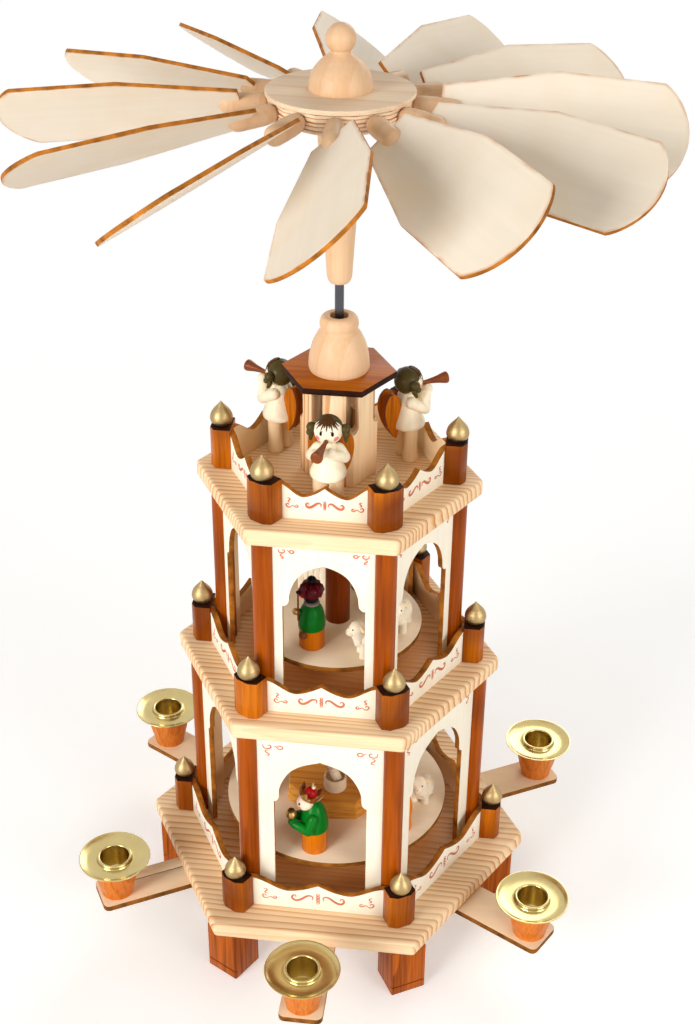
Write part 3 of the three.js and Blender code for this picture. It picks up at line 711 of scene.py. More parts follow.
def plywood(tint, along, streak=0.02, grain=None):
    """Thin plywood, plain or painted: a calm face with faint long fibres.

    They run along an axis of the object, or of the attribute that grain names."""
    made, tree, shader = blank(0.55)
    place = place_on(tree)
    if grain:
        place = node(tree, "Attribute", attribute_name=grain).outputs["Vector"]
    local = mapped(tree, place, Rotation=GRAIN_TURNS[along])
    fibres = noise(tree, mapped(tree, local, Scale=(12, 380, 380)), 1.0, 2.0)
    fine = ramp(tree, fibres, 0.3, 0.7)
    face = mixed(tree, fine, rgba(tint, 1 + streak), rgba(tint, 1 - streak * 2))
    warm = (tint[0] * 0.97, tint[1] * 0.93, tint[2] * 0.86)
    tone = ramp(tree, noise(tree, place, 40.0, 2.0), 0.45, 0.8)
    tree.links.new(mixed(tree, tone, face, rgba(warm)), shader.inputs["Base Color"])
    roughen(tree, shader, fibres, 0.000004)
    return made


def browned(tint, edge):
    """Thin plywood that is browned towards its sawn outline, as its "browning" attribute tells."""
    made = plywood(tint, "X", streak=0.012, grain="grain")
    tree = made.node_tree
    shader = tree.nodes["Principled BSDF"]
    plain = shader.inputs["Base Color"].links[0].from_socket
    near = node(tree, "Attribute", attribute_name="browning").outputs["Fac"]
    patches = ramp(tree, noise(tree, place_on(tree), 90.0, 2.0), 0.3, 0.7)
    steep = maths(tree, "POWER", maths(tree, "MULTIPLY", near, patches), 1.6)
    tree.links.new(mixed(tree, steep, plain, rgba(edge)), shader.inputs["Base Color"])
    return made


def scorched(tint, dark):
    """Wood browned by heat, darker in places."""
    made, tree, shader = blank(0.6)
    clouds = noise(tree, place_on(tree), 180.0, 4.0)
    tone = ramp(tree, clouds, 0.35, 0.7)
    tree.links.new(mixed(tree, tone, rgba(tint), rgba(dark)), shader.inputs["Base Color"])
    roughen(tree, shader, clouds, 0.00006)
    return made


def metal(tint, roughness, brushed=0.0):
    """Turned or ground metal, with fine rings round the Z axis if it is brushed to a depth in metres."""
    made, tree, shader = blank(roughness, metallic=1.0)
    place = place_on(tree)
    clouds = noise(tree, place, 120.0, 3.0)
    tone = ramp(tree, clouds, 0.3, 0.7)
    tree.links.new(mixed(tree, tone, rgba(tint, 0.94), rgba(tint, 1.04)), shader.inputs["Base Color"])
    uneven = ramp(tree, clouds, 0.0, 1.0, roughness * 0.8, roughness * 1.3)
    tree.links.new(uneven, shader.inputs["Roughness"])
    if brushed:
        lines = noise(tree, mapped(tree, place, Scale=(20, 20, 2500)), 1.0, 2.0)
        roughen(tree, shader, lines, brushed)
    return made


def darkened(tint, share):
    return [c * share for c in tint]


def finishes():
    """How each finish is made."""
    woods, paints = settings("woods"), settings("paints")
    return {
        # Each storey's pine: its ring width, the height of its rings' heart, and the radius inside which it
        # gets painted shade (none on the top plate)
        **{storey + " pine": (lambda ring=ring, low=low, shade_within=shade_within: grained(
            woods.pine, woods.pine_line, "X", 0.48, ring=ring, centre=(0, -0.25, low - 0.03),
            ripple=3.2, contrast=0.85, fibre=0.16, ends=0.6, shade_within=shade_within))
           for storey, ring, low, shade_within in (
               ("base", 3.7, BASE_UNDER, 0.054),
               ("middle", 3.4, MIDDLE_UNDER, 0.042),
               ("top", 2.8, TOP_UNDER, 0))},
        "turned wood": lambda: grained(
            woods.turned, woods.turned_line, "Z", 0.42, ring=9.0, centre=(0, 0.03, 0.05), ripple=5,
            contrast=0.3, fibre=0.2, coat=0.1),
        "turret pine": lambda: grained(
            woods.pine, woods.pine_line, "Z", 0.5, ring=4.5, centre=(0, 0.04, 0.05),
            contrast=0.95, fibre=0.25),
        "hub pine": lambda: grained(
            woods.disc, woods.turned_line, "X", 0.48, ring=11.0, centre=(0, -0.12, 0.3), ripple=5,
            contrast=0.35, fibre=0.2),
        "stage pine": lambda: grained(
            woods.stage, woods.stain, "X", 0.45, ring=4.0, contrast=0.45, fibre=0.3, coat=0.15),
        "leg wood": lambda: grained(
            woods.pine, woods.turned_line, "Z", 0.45, ring=9.0, contrast=0.2, fibre=0.15),
        "column stain": lambda: grained(
            woods.stain, woods.stain_line, "Z", 0.3, ring=7.0, centre=(0, 0.02, 0.05), ripple=6,
            contrast=0.35, fibre=0.5, coat=0.12, uneven=0.45),
        "post stain": lambda: grained(
            woods.post, woods.stain_line, "Z", 0.32, ring=9.0, centre=(0, 0.02, 0.05), ripple=8,
            contrast=0.45, fibre=0.5, coat=0.15, uneven=0.8),
        "foot stain": lambda: grained(
            woods.foot, woods.foot_line, "Z", 0.38, ring=3.2, centre=(0, 0.03, 0.05),
            contrast=0.55, fibre=0.5, coat=0.06),
        "roof stain": lambda: grained(
            woods.roof, woods.stain_line, "X", 0.4, ring=7.0, ripple=5,
            contrast=0.3, fibre=0.5, coat=0.06),
        "sleeve stain": lambda: grained(
            woods.stain_line, woods.scorched, "Z", 0.3, ring=5.0, contrast=0.4, fibre=0.5, coat=0.12),
        "cup stain": lambda: grained(
            paints.cup, woods.stain, "Z", 0.4, ring=5.0, contrast=0.4, fibre=0.5, coat=0.1),
        "orange wood": lambda: grained(
            paints.orange, woods.stain, "Z", 0.36, ring=3.0, centre=(0, 0.02, 0.05),
            contrast=0.3, fibre=0.4, coat=0.1),
        "small wing": lambda: grained(
            paints.wing, woods.stain_line, "Z", 0.45, ring=4.0, contrast=0.3, fibre=0.6),
        "burnt edge": lambda: scorched(woods.burnt, darkened(woods.burnt, 0.35)),
        "arm edge": lambda: scorched(darkened(woods.burnt, 0.6), darkened(woods.burnt, 0.2)),
        "glue line": lambda: scorched(woods.turned_line, woods.burnt),
        "scorched": lambda: scorched(woods.scorched, darkened(woods.scorched, 0.4)),
        "panel": lambda: plywood(woods.panel, "Z"),
        "plain plywood": lambda: plywood(woods.pine, "X"),
        "arm plywood": lambda: plywood(woods.arm, "X"),
        "disc plywood": lambda: plywood(woods.disc, "X"),
        "blade plywood": lambda: browned(woods.blade, woods.burnt),
        "brass": lambda: metal(paints.brass, 0.22),
        "bronze": lambda: metal(paints.bronze, 0.4, brushed=0.00012),
        "steel": lambda: metal(paints.steel, 0.22, brushed=0.00001),
        "scroll": lambda: painted(paints.scroll, 0.6),
        "fringe": lambda: painted(darkened(paints.brown, 0.7), 0.4),
        "fleece": lambda: painted(paints.fleece, 0.6, mottle=0.08, depth=0.0001),
        "gold": lambda: painted(paints.gold, 0.34, metallic=0.8),
        **{tint: (lambda tint=tint: painted(getattr(paints, tint), 0.34, coat=0.12))
           for tint in ("cream", "skin", "cheek", "hair", "horn", "green", "orange", "red",
                        "crimson", "brown", "black", "grey")},
    }


def material(finish):
    """The named finish, made when it is first asked for."""
    name = finish.replace(" ", "_") + "_finish"
    found = bpy.data.materials.get(name)
    if found is None:
        found = finishes()[finish]()
        found.name = name
    return found


# Pieces


class PYRAMID_OT_plates(bpy.types.Operator):
    """Adds the three plates, with the shaft's bearing cup on the lowest"""
    bl_idname = "pyramid.plates"
    bl_label = "Plates"
    bl_options = {"REGISTER", "UNDO"}

    def execute(self, context):
        sizes = settings("stand")
        for name, low, high in (("base_plate", BASE_UNDER, BASE_FLOOR),
                                ("middle_plate", MIDDLE_UNDER, MIDDLE_FLOOR),
                                ("top_plate", TOP_UNDER, TOP_FLOOR)):
            finish = name.replace("_plate", " pine")
            piece = hexagon(name + "_wood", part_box(name)[1].x, low, high, finish)
            for edge in piece.data.edges:
                ends = [piece.data.vertices[v].co.z for v in edge.vertices]
                edge.select = min(ends) > high - 0.01 * MM
            bpy.ops.object.mode_set(mode="EDIT")
            bpy.ops.mesh.bevel(offset=sizes.plate_ease, segments=4, affect="EDGES", profile=0.6)
            bpy.ops.object.mode_set(mode="OBJECT")
            soften(piece, 0.4 * MM, angle=50)
            if name != "base_plate":
                cut(piece, [turned("hole", finish, [
                    [SHAFT_HOLE, low / MM - 5], [SHAFT_HOLE, high / MM + 5]], 24)])
            ride(smooth(piece, 25), "stand", "pine", name)
        cup = turned("bearing_cup", "brass", [
            [4.8, -0.6], [5, -0.4], [5, 3.6], [4.6, 4], [2.7, 4], [0.3, 2.1]], 32)
        ride(settle(cup, shift(z=BASE_FLOOR)), "stand", "brass")
        return {"FINISHED"}


class PYRAMID_OT_feet(bpy.types.Operator):
    """Adds six stained feet with a saw kerf across the outer face"""
    bl_idname = "pyramid.feet"
    bl_label = "Feet"
    bl_options = {"REGISTER", "UNDO"}

    def execute(self, context):
        sizes = settings("stand")
        width, out, height = sizes.foot_width / MM, sizes.foot_out / MM, BASE_UNDER / MM
        foot = block("foot", "foot stain", (width, width, height), (out - width / 2, 0, height / 2), 0.5)
        cut(foot, [block("kerf", "scorched", (3.2, width + 4, 0.8), (out, 0, sizes.kerf_height / MM))])
        smooth(foot, 30)
        numbered(foot, "foot_block", CORNERS, "foot_wood", "foot")
        return {"FINISHED"}


class PYRAMID_OT_candle_arms(bpy.types.Operator):
    """Adds six plywood arms, each with a turned cup"""
    bl_idname = "pyramid.candle_arms"
    bl_label = "Candle Arms"
    bl_options = {"REGISTER", "UNDO"}

    def execute(self, context):
        sizes = settings("stand")
        half, near, far = sizes.arm_width / MM / 2, sizes.arm_in / MM, sizes.arm_out / MM
        corner = 3
        arc = [(math.sin(math.radians(a)), math.cos(math.radians(a))) for a in range(0, 91, 15)]
        outer = [(far - corner + corner * s, -half + corner - corner * c) for s, c in arc]
        outline = [(near, -half), *outer, *[(x, -y) for x, y in reversed(outer)], (near, half)]
        strip = sawn("arm", outline, sizes.arm_thickness, "arm plywood", "arm edge", 0.15 * MM)
        settle(strip, shift(z=BASE_UNDER - sizes.arm_thickness))
        under, mouth = BASE_UNDER / MM - 1.5, SOCKET_TOP / MM - DISH_DROP
        foot, rim, rise = sizes.cup_foot / MM, sizes.cup_mouth / MM, mouth - BASE_UNDER / MM
        cup = turned("cup", "cup stain", curved([
            [foot - 0.4, under], [foot, under + 1.8], [foot + 0.5, under + 1.5 + 0.15 * rise],
            [foot + 1.4, under + 1.5 + 0.32 * rise], [rim - 0.9, mouth - 0.48 * rise],
            [rim - 0.2, mouth - 0.25 * rise], [rim, mouth - 1.8], [rim - 0.1, mouth - 0.6],
            [rim - 0.8, mouth]]) + [[8.2, mouth], [8.2, mouth - 15]])
        settle(cup, shift(x=SOCKET_CIRCLE))
        for i, bearing in enumerate(FLANKS, 1):
            arm = copied(strip, f"arm_strip_{i}", shift())
            if bearing == SPLIT_ARM:
                cut(arm, [block("split", "arm edge", (32, 0.5, 8), (94, -3.1, under))])
            ride(settle(arm, turn(bearing)), "stand", "arm_plywood", f"candle_arm_{i}")
            ride(copied(cup, f"arm_cup_{i}", turn(bearing)), "stand", "arm_plywood")
        removed(strip)
        removed(cup)
        return {"FINISHED"}


class PYRAMID_OT_candle_sockets(bpy.types.Operator):
    """Adds six brass candle sockets with a raised lip and a wide drip dish"""
    bl_idname = "pyramid.candle_sockets"
    bl_label = "Candle Sockets"
    bl_options = {"REGISTER", "UNDO"}

    def execute(self, context):
        sizes = settings("stand")
        bore, dish, top = sizes.candle / MM, sizes.dish / MM, SOCKET_TOP / MM
        seat = top - DISH_DROP
        bowl = curved([[11, seat + 0.1], [13.2, seat + 0.25], [15.4, seat + 0.75], [16.9, seat + 1.45]])
        rim = [[dish - 0.2, seat + 1.75], [dish, seat + 2.0], [dish - 0.12, seat + 2.3],
               [dish - 0.45, seat + 2.35]]
        inside = curved([[16.6, seat + 2.15], [15.2, seat + 1.55], [13.2, seat + 1.1], [11, seat + 0.95],
                         [bore + 2.6, seat + 0.95]])
        lip = curved([[bore + 1.9, seat + 1.05], [bore + 1.65, seat + 1.5], [bore + 1.6, top - 0.5],
                      [bore + 1.2, top - 0.05], [bore + 0.6, top], [bore + 0.1, top - 0.35], [bore, top - 1]])
        socket = turned("socket", "brass", [
            [bore + 0.9, top - 14.4], [bore + 0.9, seat + 0.05], [10.9, seat + 0.05], *bowl, *rim, *inside,
            *lip, [bore, top - 12.9], [bore - 0.6, top - 13.5], [0.5, top - 13.5]], 64)
        settle(socket, shift(x=SOCKET_CIRCLE))
        numbered(socket, "brass_socket", FLANKS, "brass", "candle_socket")
        return {"FINISHED"}


# Outlines of an arch's opening (mm): half width of the doorway, the step above it, and the keel
ARCHES = {
    "lower": {"scroll": 9.0, "half": 22, "neck": 19.5, "step": 60.6, "cove": 64.2, "tip": 86.5, "keel": [
        (19.2, 69), (17.3, 74.2), (14.2, 79.2), (9.6, 82.8), (4.6, 84.9), (1.6, 85.8)]},
    "upper": {"scroll": 6.7, "half": 18.5, "neck": 15.5, "step": 53.7, "cove": 57, "tip": 76.2, "keel": [
        (15.1, 61), (13.6, 65.6), (10.9, 70.2), (7.4, 73.2), (3.8, 74.9), (1.3, 75.7)]},
}


def arch_outline(span, height, arch):
    """Outline of an arch panel, anticlockwise from its lower left corner (mm)."""
    quarter = [math.pi / 8 * i for i in range(5)]
    cove = [(arch["half"] - (arch["half"] - arch["neck"]) * math.sin(t),
             arch["cove"] - (arch["cove"] - arch["step"]) * math.cos(t)) for t in quarter]
    keel = curved([(arch["neck"], arch["cove"]), *arch["keel"], (0, arch["tip"])], 3)[1:-1]
    jamb = [(arch["half"], 0), *cove, *keel]
    return [(-span, 0), *[(-x, z) for x, z in jamb], (0, arch["tip"]), *reversed(jamb),
            (span, 0), (span, height), (-span, height)]


# Pen strokes of the ornaments (mm from their middle): corner scrolls of an arch, and those of a fence
ARCH_STROKES = (
    [(4.4, 1.4), (4.7, 0.6), (4.3, -0.6), (3.1, -1.2), (1.7, -1.0), (0.9, -0.1), (1.1, 0.8), (1.8, 1.1),
     (2.3, 0.6)],
    [(-0.4, 0.6), (-1.1, 0.7), (-1.7, 0.0), (-2.6, -0.9), (-3.6, -1.1), (-4.6, -0.3), (-4.2, 0.6),
     (-3.0, 1.0), (-2.3, 0.6), (-2.6, 0.0)],
    [(2.1, -2.1), (3.4, -2.3), (3.5, -3.1), (2.5, -3.8), (1.8, -4.5), (2.3, -5.2), (3.4, -4.9)],
)
FENCE_SWEEP = [(1.9, -0.7), (1.6, -0.1), (1.8, 0.7), (2.5, 1.0), (3.4, 0.8), (4.4, 0.0), (5.4, -0.8),
               (6.4, -1.3), (7.3, -1.3), (8.0, -0.7), (8.1, 0.2), (7.6, 0.8), (7.0, 0.6), (7.0, 0.0)]
FENCE_ENDS = (
    [(0.6, 0.7), (1.3, 0.7), (1.6, 1.2), (1.1, 1.7), (0.8, 2.2), (1.2, 2.7), (1.9, 2.6)],
    [(-1.5, -1.0), (-1.9, -0.6), (-2.5, -0.9), (-2.5, -1.5), (-1.9, -1.7), (-1.2, -1.4), (-0.4, -1.0),
     (0.3, -1.3)],
    [(0.2, -1.2), (0.9, -1.8), (1.9, -1.7), (2.5, -0.8), (2.1, -0.1), (1.4, -0.2), (1.2, -0.8)],
)
FENCE_SPINDLE = [(0, 2.2), (0.5, 1.65), (0, 1.1), (-0.5, 0.55), (0, 0), (0.5, -0.55), (0, -1.1),
                 (-0.5, -1.65), (0, -2.2)]


def moved(points, x, y, size):
    """Points of a size, moved."""
    return [(x + size * u, y + size * v) for u, v in points]


class PYRAMID_OT_arcades(bpy.types.Operator):
    """Adds the columns and arch panels of the two open storeys"""
    bl_idname = "pyramid.arcades"
    bl_label = "Arcades"
    bl_options = {"REGISTER", "UNDO"}

    def execute(self, context):
        sizes = settings("storeys")
        radius, thickness = sizes.column / MM, sizes.panel
        for storey, circle, floor, ceiling in (
                ("lower", sizes.lower_columns, BASE_FLOOR, MIDDLE_UNDER),
                ("upper", sizes.upper_columns, MIDDLE_FLOOR, TOP_UNDER)):
            height = (ceiling - floor) / MM
            column = turned("column", "column stain", [
                [radius - 0.5, 0], [radius, 0.5], [radius, height - 0.5], [radius - 0.5, height]], 36)
            settle(column, shift(circle, 0, floor))
            ride(around(column, storey + "_columns", CORNERS), "stand", "arcade_wood", storey + "_arcade")
            outline = arch_outline(circle / MM / 2 - radius * 0.45, height, ARCHES[storey])
            panel = sawn("panel", outline, thickness, "panel", "burnt edge", 0.12 * MM, "plain plywood")
            size = (circle / sizes.lower_columns) ** 1.4
            reach = circle / MM / 2 - radius - 7.4 * circle / sizes.lower_columns
            strokes = []
            for points in ARCH_STROKES:
                right = moved(points, reach, height - ARCHES[storey]["scroll"], size)
                strokes += [pen(thickness, right), pen(thickness, mirrored(right))]
            panel = joined("panel", [panel, *strokes])
            stood(panel, circle * COS30 + thickness / 2, floor, thickness)
            ride(around(panel, storey + "_panels", CORNERS), "stand", "arcade_wood")
        return {"FINISHED"}


def fence_height(u):
    """Height of a fence's top edge (mm), from its middle (0) to its end (1)."""
    if u < 0.4:
        return 10.9 + 4.8 * (1 - u / 0.4) ** 1.6
    t = min(1, (u - 0.4) / 0.48)
    return 10.9 + 6.5 * t * t * (3 - 2 * t)


class PYRAMID_OT_galleries(bpy.types.Operator):
    """Adds the posts, finials and scalloped fences of the three storeys"""
    bl_idname = "pyramid.galleries"
    bl_label = "Galleries"
    bl_options = {"REGISTER", "UNDO"}

    def execute(self, context):
        sizes = settings("storeys")
        half = sizes.post_width / MM / 2
        radius, tall = sizes.finial / MM, sizes.finial_height / MM
        for storey, circle, floor in (("lower", sizes.lower_posts, BASE_FLOOR),
                                      ("middle", sizes.middle_posts, MIDDLE_FLOOR),
                                      ("top", sizes.top_posts, TOP_FLOOR)):
            post = sawn("post", [(-5, -half), (2.5, -half), (4.7, -3.3), (4.7, 3.3), (2.5, half), (-5, half)],
                        sizes.post_height, "scorched", "post stain", 0.4 * MM)
            settle(post, shift(circle, 0, floor))
            ride(around(post, storey + "_posts", CORNERS), "stand", "gallery_wood", storey + "_gallery")
            finial = turned("finial", "bronze", [[0.5 * radius, -0.6]] + curved([
                [0.55 * radius, 0], [0.84 * radius, 0.07 * tall], [radius, 0.22 * tall],
                [0.99 * radius, 0.36 * tall], [0.87 * radius, 0.52 * tall], [0.63 * radius, 0.67 * tall],
                [0.36 * radius, 0.8 * tall], [0.15 * radius, 0.91 * tall], [0, tall]], 4), 40)
            settle(finial, shift(circle, 0, floor + sizes.post_height))
            ride(around(finial, storey + "_finials", CORNERS), "stand", "gallery_wood")
            distance = circle * COS30 - sizes.fence_back
            end = distance / MM * math.tan(math.pi / 6) - 2.5
            top = [(u * end, fence_height(u)) for u in (i / 24 for i in range(25))]
            outline = [(end, 0), *reversed(top), *[(-x, z) for x, z in top[1:]], (-end, 0)]
            fence = sawn("fence", outline, sizes.fence, "panel", "burnt edge", 0.12 * MM, "plain plywood")
            size = end / 23.5
            lines = [moved(FENCE_SPINDLE, 0, 7.4, size), *ribbon(moved(FENCE_SWEEP, 0, 7.4, size), 0.3)]
            lines += [moved(points, 0.72 * end - 2.6, 7.4, 0.4 + 0.6 * size) for points in FENCE_ENDS]
            strokes = []
            for points in lines:
                strokes += [pen(sizes.fence, points), pen(sizes.fence, mirrored(points))]
            fence = joined("fence", [fence, *strokes])
            stood(fence, distance, floor, sizes.fence)
            ride(around(fence, storey + "_fences", CORNERS), "stand", "gallery_wood")
        return {"FINISHED"}


class PYRAMID_OT_turret(bpy.types.Operator):
    """Adds the slotted turret, its roof plate and the bell that guides the shaft"""
    bl_idname = "pyramid.turret"
    bl_label = "Turret"
    bl_options = {"REGISTER", "UNDO"}

    def execute(self, context):
        sizes = settings("storeys")
        low, high = TOP_FLOOR / MM, ROOF_UNDER / MM
        walls = hexagon("turret_walls", sizes.turret, TOP_FLOOR, ROOF_UNDER, "turret pine")
        soften(walls, 0.35 * MM, angle=45)
        cutters = [turned("bore", "burnt edge", [[sizes.turret_bore / MM, low - 2],
                                                 [sizes.turret_bore / MM, high + 2]], 48)]
        half, sill = sizes.slot / MM / 2, low + sizes.sill / MM
        curve = [(half * math.sin(math.radians(a)), sill + half - half * math.cos(math.radians(a)))
                 for a in range(-90, 91, 15)]
        for bearing in FLANKS[:3]:
            slot = sawn("slot", [*curve, (half, high + 2), (-half, high + 2)], 50 * MM,
                        "burnt edge", "burnt edge")
            stood(slot, 25 * MM, 0, 50 * MM)
            cutters.append(settle(slot, turn(bearing)))
        cut(walls, cutters)
        ride(smooth(walls, 30), "stand", "pine", "turret")

        roof = hexagon("roof_stained", sizes.roof, ROOF_UNDER, ROOF_TOP, "roof stain")
        soften(roof, 0.3 * MM, angle=45)
        cut(roof, [turned("hole", "roof stain", [[SHAFT_HOLE, high - 2], [SHAFT_HOLE, high + 8]], 24)])
        second_coat(roof, "scorched", lambda face: face.normal.z <= FLAT)
        ride(smooth(roof, 30), "stand", "roof_stain", "roof_plate")

        radius = sizes.bell / MM
        bell = turned("bell_turned", "turned wood", curved([
            [0.975 * radius, 0], [radius, 1.2], [radius, 2.8], [0.965 * radius, 7], [0.87 * radius, 12],
            [0.73 * radius, 16], [0.62 * radius, 18.2]], 5) + curved([
                [0.6 * radius, 18.9], [0.61 * radius, 19.5], [0.63 * radius, 20.4], [0.63 * radius, 21.9],
                [0.6 * radius, 23.4], [0.54 * radius, 24.5], [0.47 * radius, 24.9]], 3) + [
                    [4.4, 24.9], [4.05, 24.6], [4.05, 18.9]], 56)
        settle(bell, shift(z=ROOF_TOP))
        cut(bell, [turned("bore", "turned wood", [[GUIDE_BORE, high], [GUIDE_BORE, high + 40]], 24)])
        ride(smooth(bell), "stand", "turned_wood", "bell_cap")
        return {"FINISHED"}


def placed(piece, x, y, z):
    """Moves a piece by a distance in mm."""
    return settle(piece, shift(x * MM, y * MM, z * MM))


def on_head(centre, radius, side, up):
    """A point on a head that faces -X, by its angles to the side and up (degrees)."""
    a, e = math.radians(side), math.radians(up)
    return Vector((centre[0] - radius * math.cos(e) * math.cos(a),
                   centre[1] + radius * math.cos(e) * math.sin(a), centre[2] + radius * math.sin(e)))


def dab(finish, centre, radius, side, up, across, tall):
    """A spot of paint on a head: a flat egg that lies on its skin."""
    spot = ball("dab", finish, (0, 0, 0), 1, (0.25, across, tall), 12)
    skin = on_head(centre, radius, side, up)
    return settle(spot, Matrix.Translation(skin * MM) @ turn(-side) @ turn(up, "Y"))


def hair_cap(finish, head, radius, front, height):
    """Hair over the back of a head that faces -X, open in front of a slanting line."""
    cap = ball("hair_cap", finish, head, radius, segments=36)
    select(cap)
    bpy.ops.object.mode_set(mode="EDIT")
    bpy.ops.mesh.select_all(action="SELECT")
    bpy.ops.mesh.bisect(plane_co=(front * MM, 0, height * MM), plane_no=(-0.9, 0, -0.44), use_fill=True,
                        clear_outer=True)
    bpy.ops.object.mode_set(mode="OBJECT")
    return smooth(cap, 50)


def angel(splay, bell, front, elbow, hand):
    """An angel that blows a trumpet, facing -X, its feet at the origin.

    The bell of the trumpet, an elbow and a hand are points in mm, the last two mirrored for the other arm.
    The cap of hair begins front mm behind the middle of the head."""
    head, skull = (0, 0, 38.4), 6.2
    mouth = Vector((-6.0, 0, 36.2))
    parts = [
        turned("dress", "cream", curved([
            [5.4, 16.6], [7.0, 16.2], [7.9, 17.3], [7.8, 19.2], [6.8, 21.6], [5.6, 24.8], [4.8, 28],
            [3.9, 30.8], [2.7, 32.6]], 3) + [[2.4, 34]], 40),
        ball("head", "cream", head, skull, segments=36),
        hair_cap("hair", (0.5, 0, 38.8), 6.3, front, 39),
    ]
    for side in (-1, 1):
        parts += [
            placed(turned("leg", "leg wood", curved([
                [3.4, 0.05], [3.65, 1.0], [3.55, 3.2], [3.25, 4.6], [3.2, 9], [3.4, 18]], 2), 20),
                   0, side * 3.6, 0),
            limb("sleeve", "cream", (0.4, side * 4.4, 29.4), (elbow[0], side * elbow[1], elbow[2]),
                 2.8, 2.6),
            limb("forearm", "cream", (elbow[0], side * elbow[1], elbow[2]),
                 (hand[0] + 1.0, side * (hand[1] + 0.7), hand[2] - 1.2), 2.5, 2.0),
            ball("hand", "cream", (hand[0], side * hand[1], hand[2]), 2.3),
            ball("bun", "hair", (0.2, side * 7.2, 39.2), 2.3),
            ball("bun_curl", "hair", (-0.9, side * 7.9, 37.4), 1.5),
            limb("lock", "hair", (0.6, side * 7.4, 36.4), (-0.4, side * 7.6, 34.0), 1.3, 0.8),
            dab("black", head, skull, side * 24, 9, 0.65, 1.05),
            dab("cheek", head, skull, side * 42, -15, 1.25, 1.2),
        ]
        lash = [on_head(head, skull + 0.03, side * (14 + 5 * t), 19 - (t - 1) ** 2) for t in range(4)]
        parts.append(traced("brow", "brown", lash, [0.1, 0.13, 0.13, 0.08]))
    for k in range(-5, 6):
        fall = 18 if k % 2 else 22
        line = [on_head(head, skull + 0.25, k * (7 + 1.8 * t), 86 - fall * t) for t in range(4)]
        parts.append(traced("strand", "fringe", line, [0.8, 0.6, 0.4, 0.1]))
    trumpet = turned("trumpet", "horn", curved([
        [0.8, 0], [1.0, 0.5], [0.95, 2], [1.25, 5], [1.75, 8.2], [2.3, 10.4], [2.7, 12.2]], 3) + [
            [2.6, 12.9], [2.1, 13.2], [0.4, 12.6]], 24)
    parts.append(aimed(trumpet, mouth, Vector(bell)))
    leaf = curved([(0.4, 7), (1.6, 2), (2.6, -3), (3.8, -6.6), (6.4, -4), (9.2, 1), (10.6, 7.5),
                   (9.8, 13), (6.6, 16.4), (2.6, 13), (0.4, 7)], 3)[:-1]
    for side in (-1, 1):
        wing = sawn("wing", leaf, 1.8 * MM, "small wing", "horn", 0.3 * MM)
        stood(wing, 0.9 * MM, 0, 1.8 * MM)
        settle(wing, turn(side * splay))
        parts.append(placed(wing, 3.2, side * 1.0, 18.6))
    return joined("angel", parts)


# Bearing of each angel (degrees), the splay of its wings, then its trumpet's bell, hair, elbow and hand
ANGELS = (
    (270, 55, (-18, 2.4, 34.6), 0.6, (-0.9, 7.0, 26.4), (-8.6, 2.2, 31.8)),
    (30, 15, (-18, 0, 36.8), -2.4, (-6.2, 4.6, 25.6), (-8.8, 1.6, 33.6)),
    (150, 15, (-18, 0, 36.6), -2.4, (-6.2, 4.6, 25.6), (-8.8, 1.6, 33.6)),
)


class PYRAMID_OT_angels(bpy.types.Operator):
    """Adds three angels with trumpets round the turret"""
    bl_idname = "pyramid.angels"
    bl_label = "Angels"
    bl_options = {"REGISTER", "UNDO"}

    def execute(self, context):
        for i, (bearing, *shape) in enumerate(ANGELS, 1):
            place = turn(bearing) @ shift(ANGEL_CIRCLE * MM, 0, TOP_FLOOR + FIGURE_GAP * MM) @ turn(180)
            model = settle(angel(*shape), place)
            model.name = f"trumpet_angel_{i}"
            ride(model, "stand", "angel_paint", f"angel_{i}")
        return {"FINISHED"}


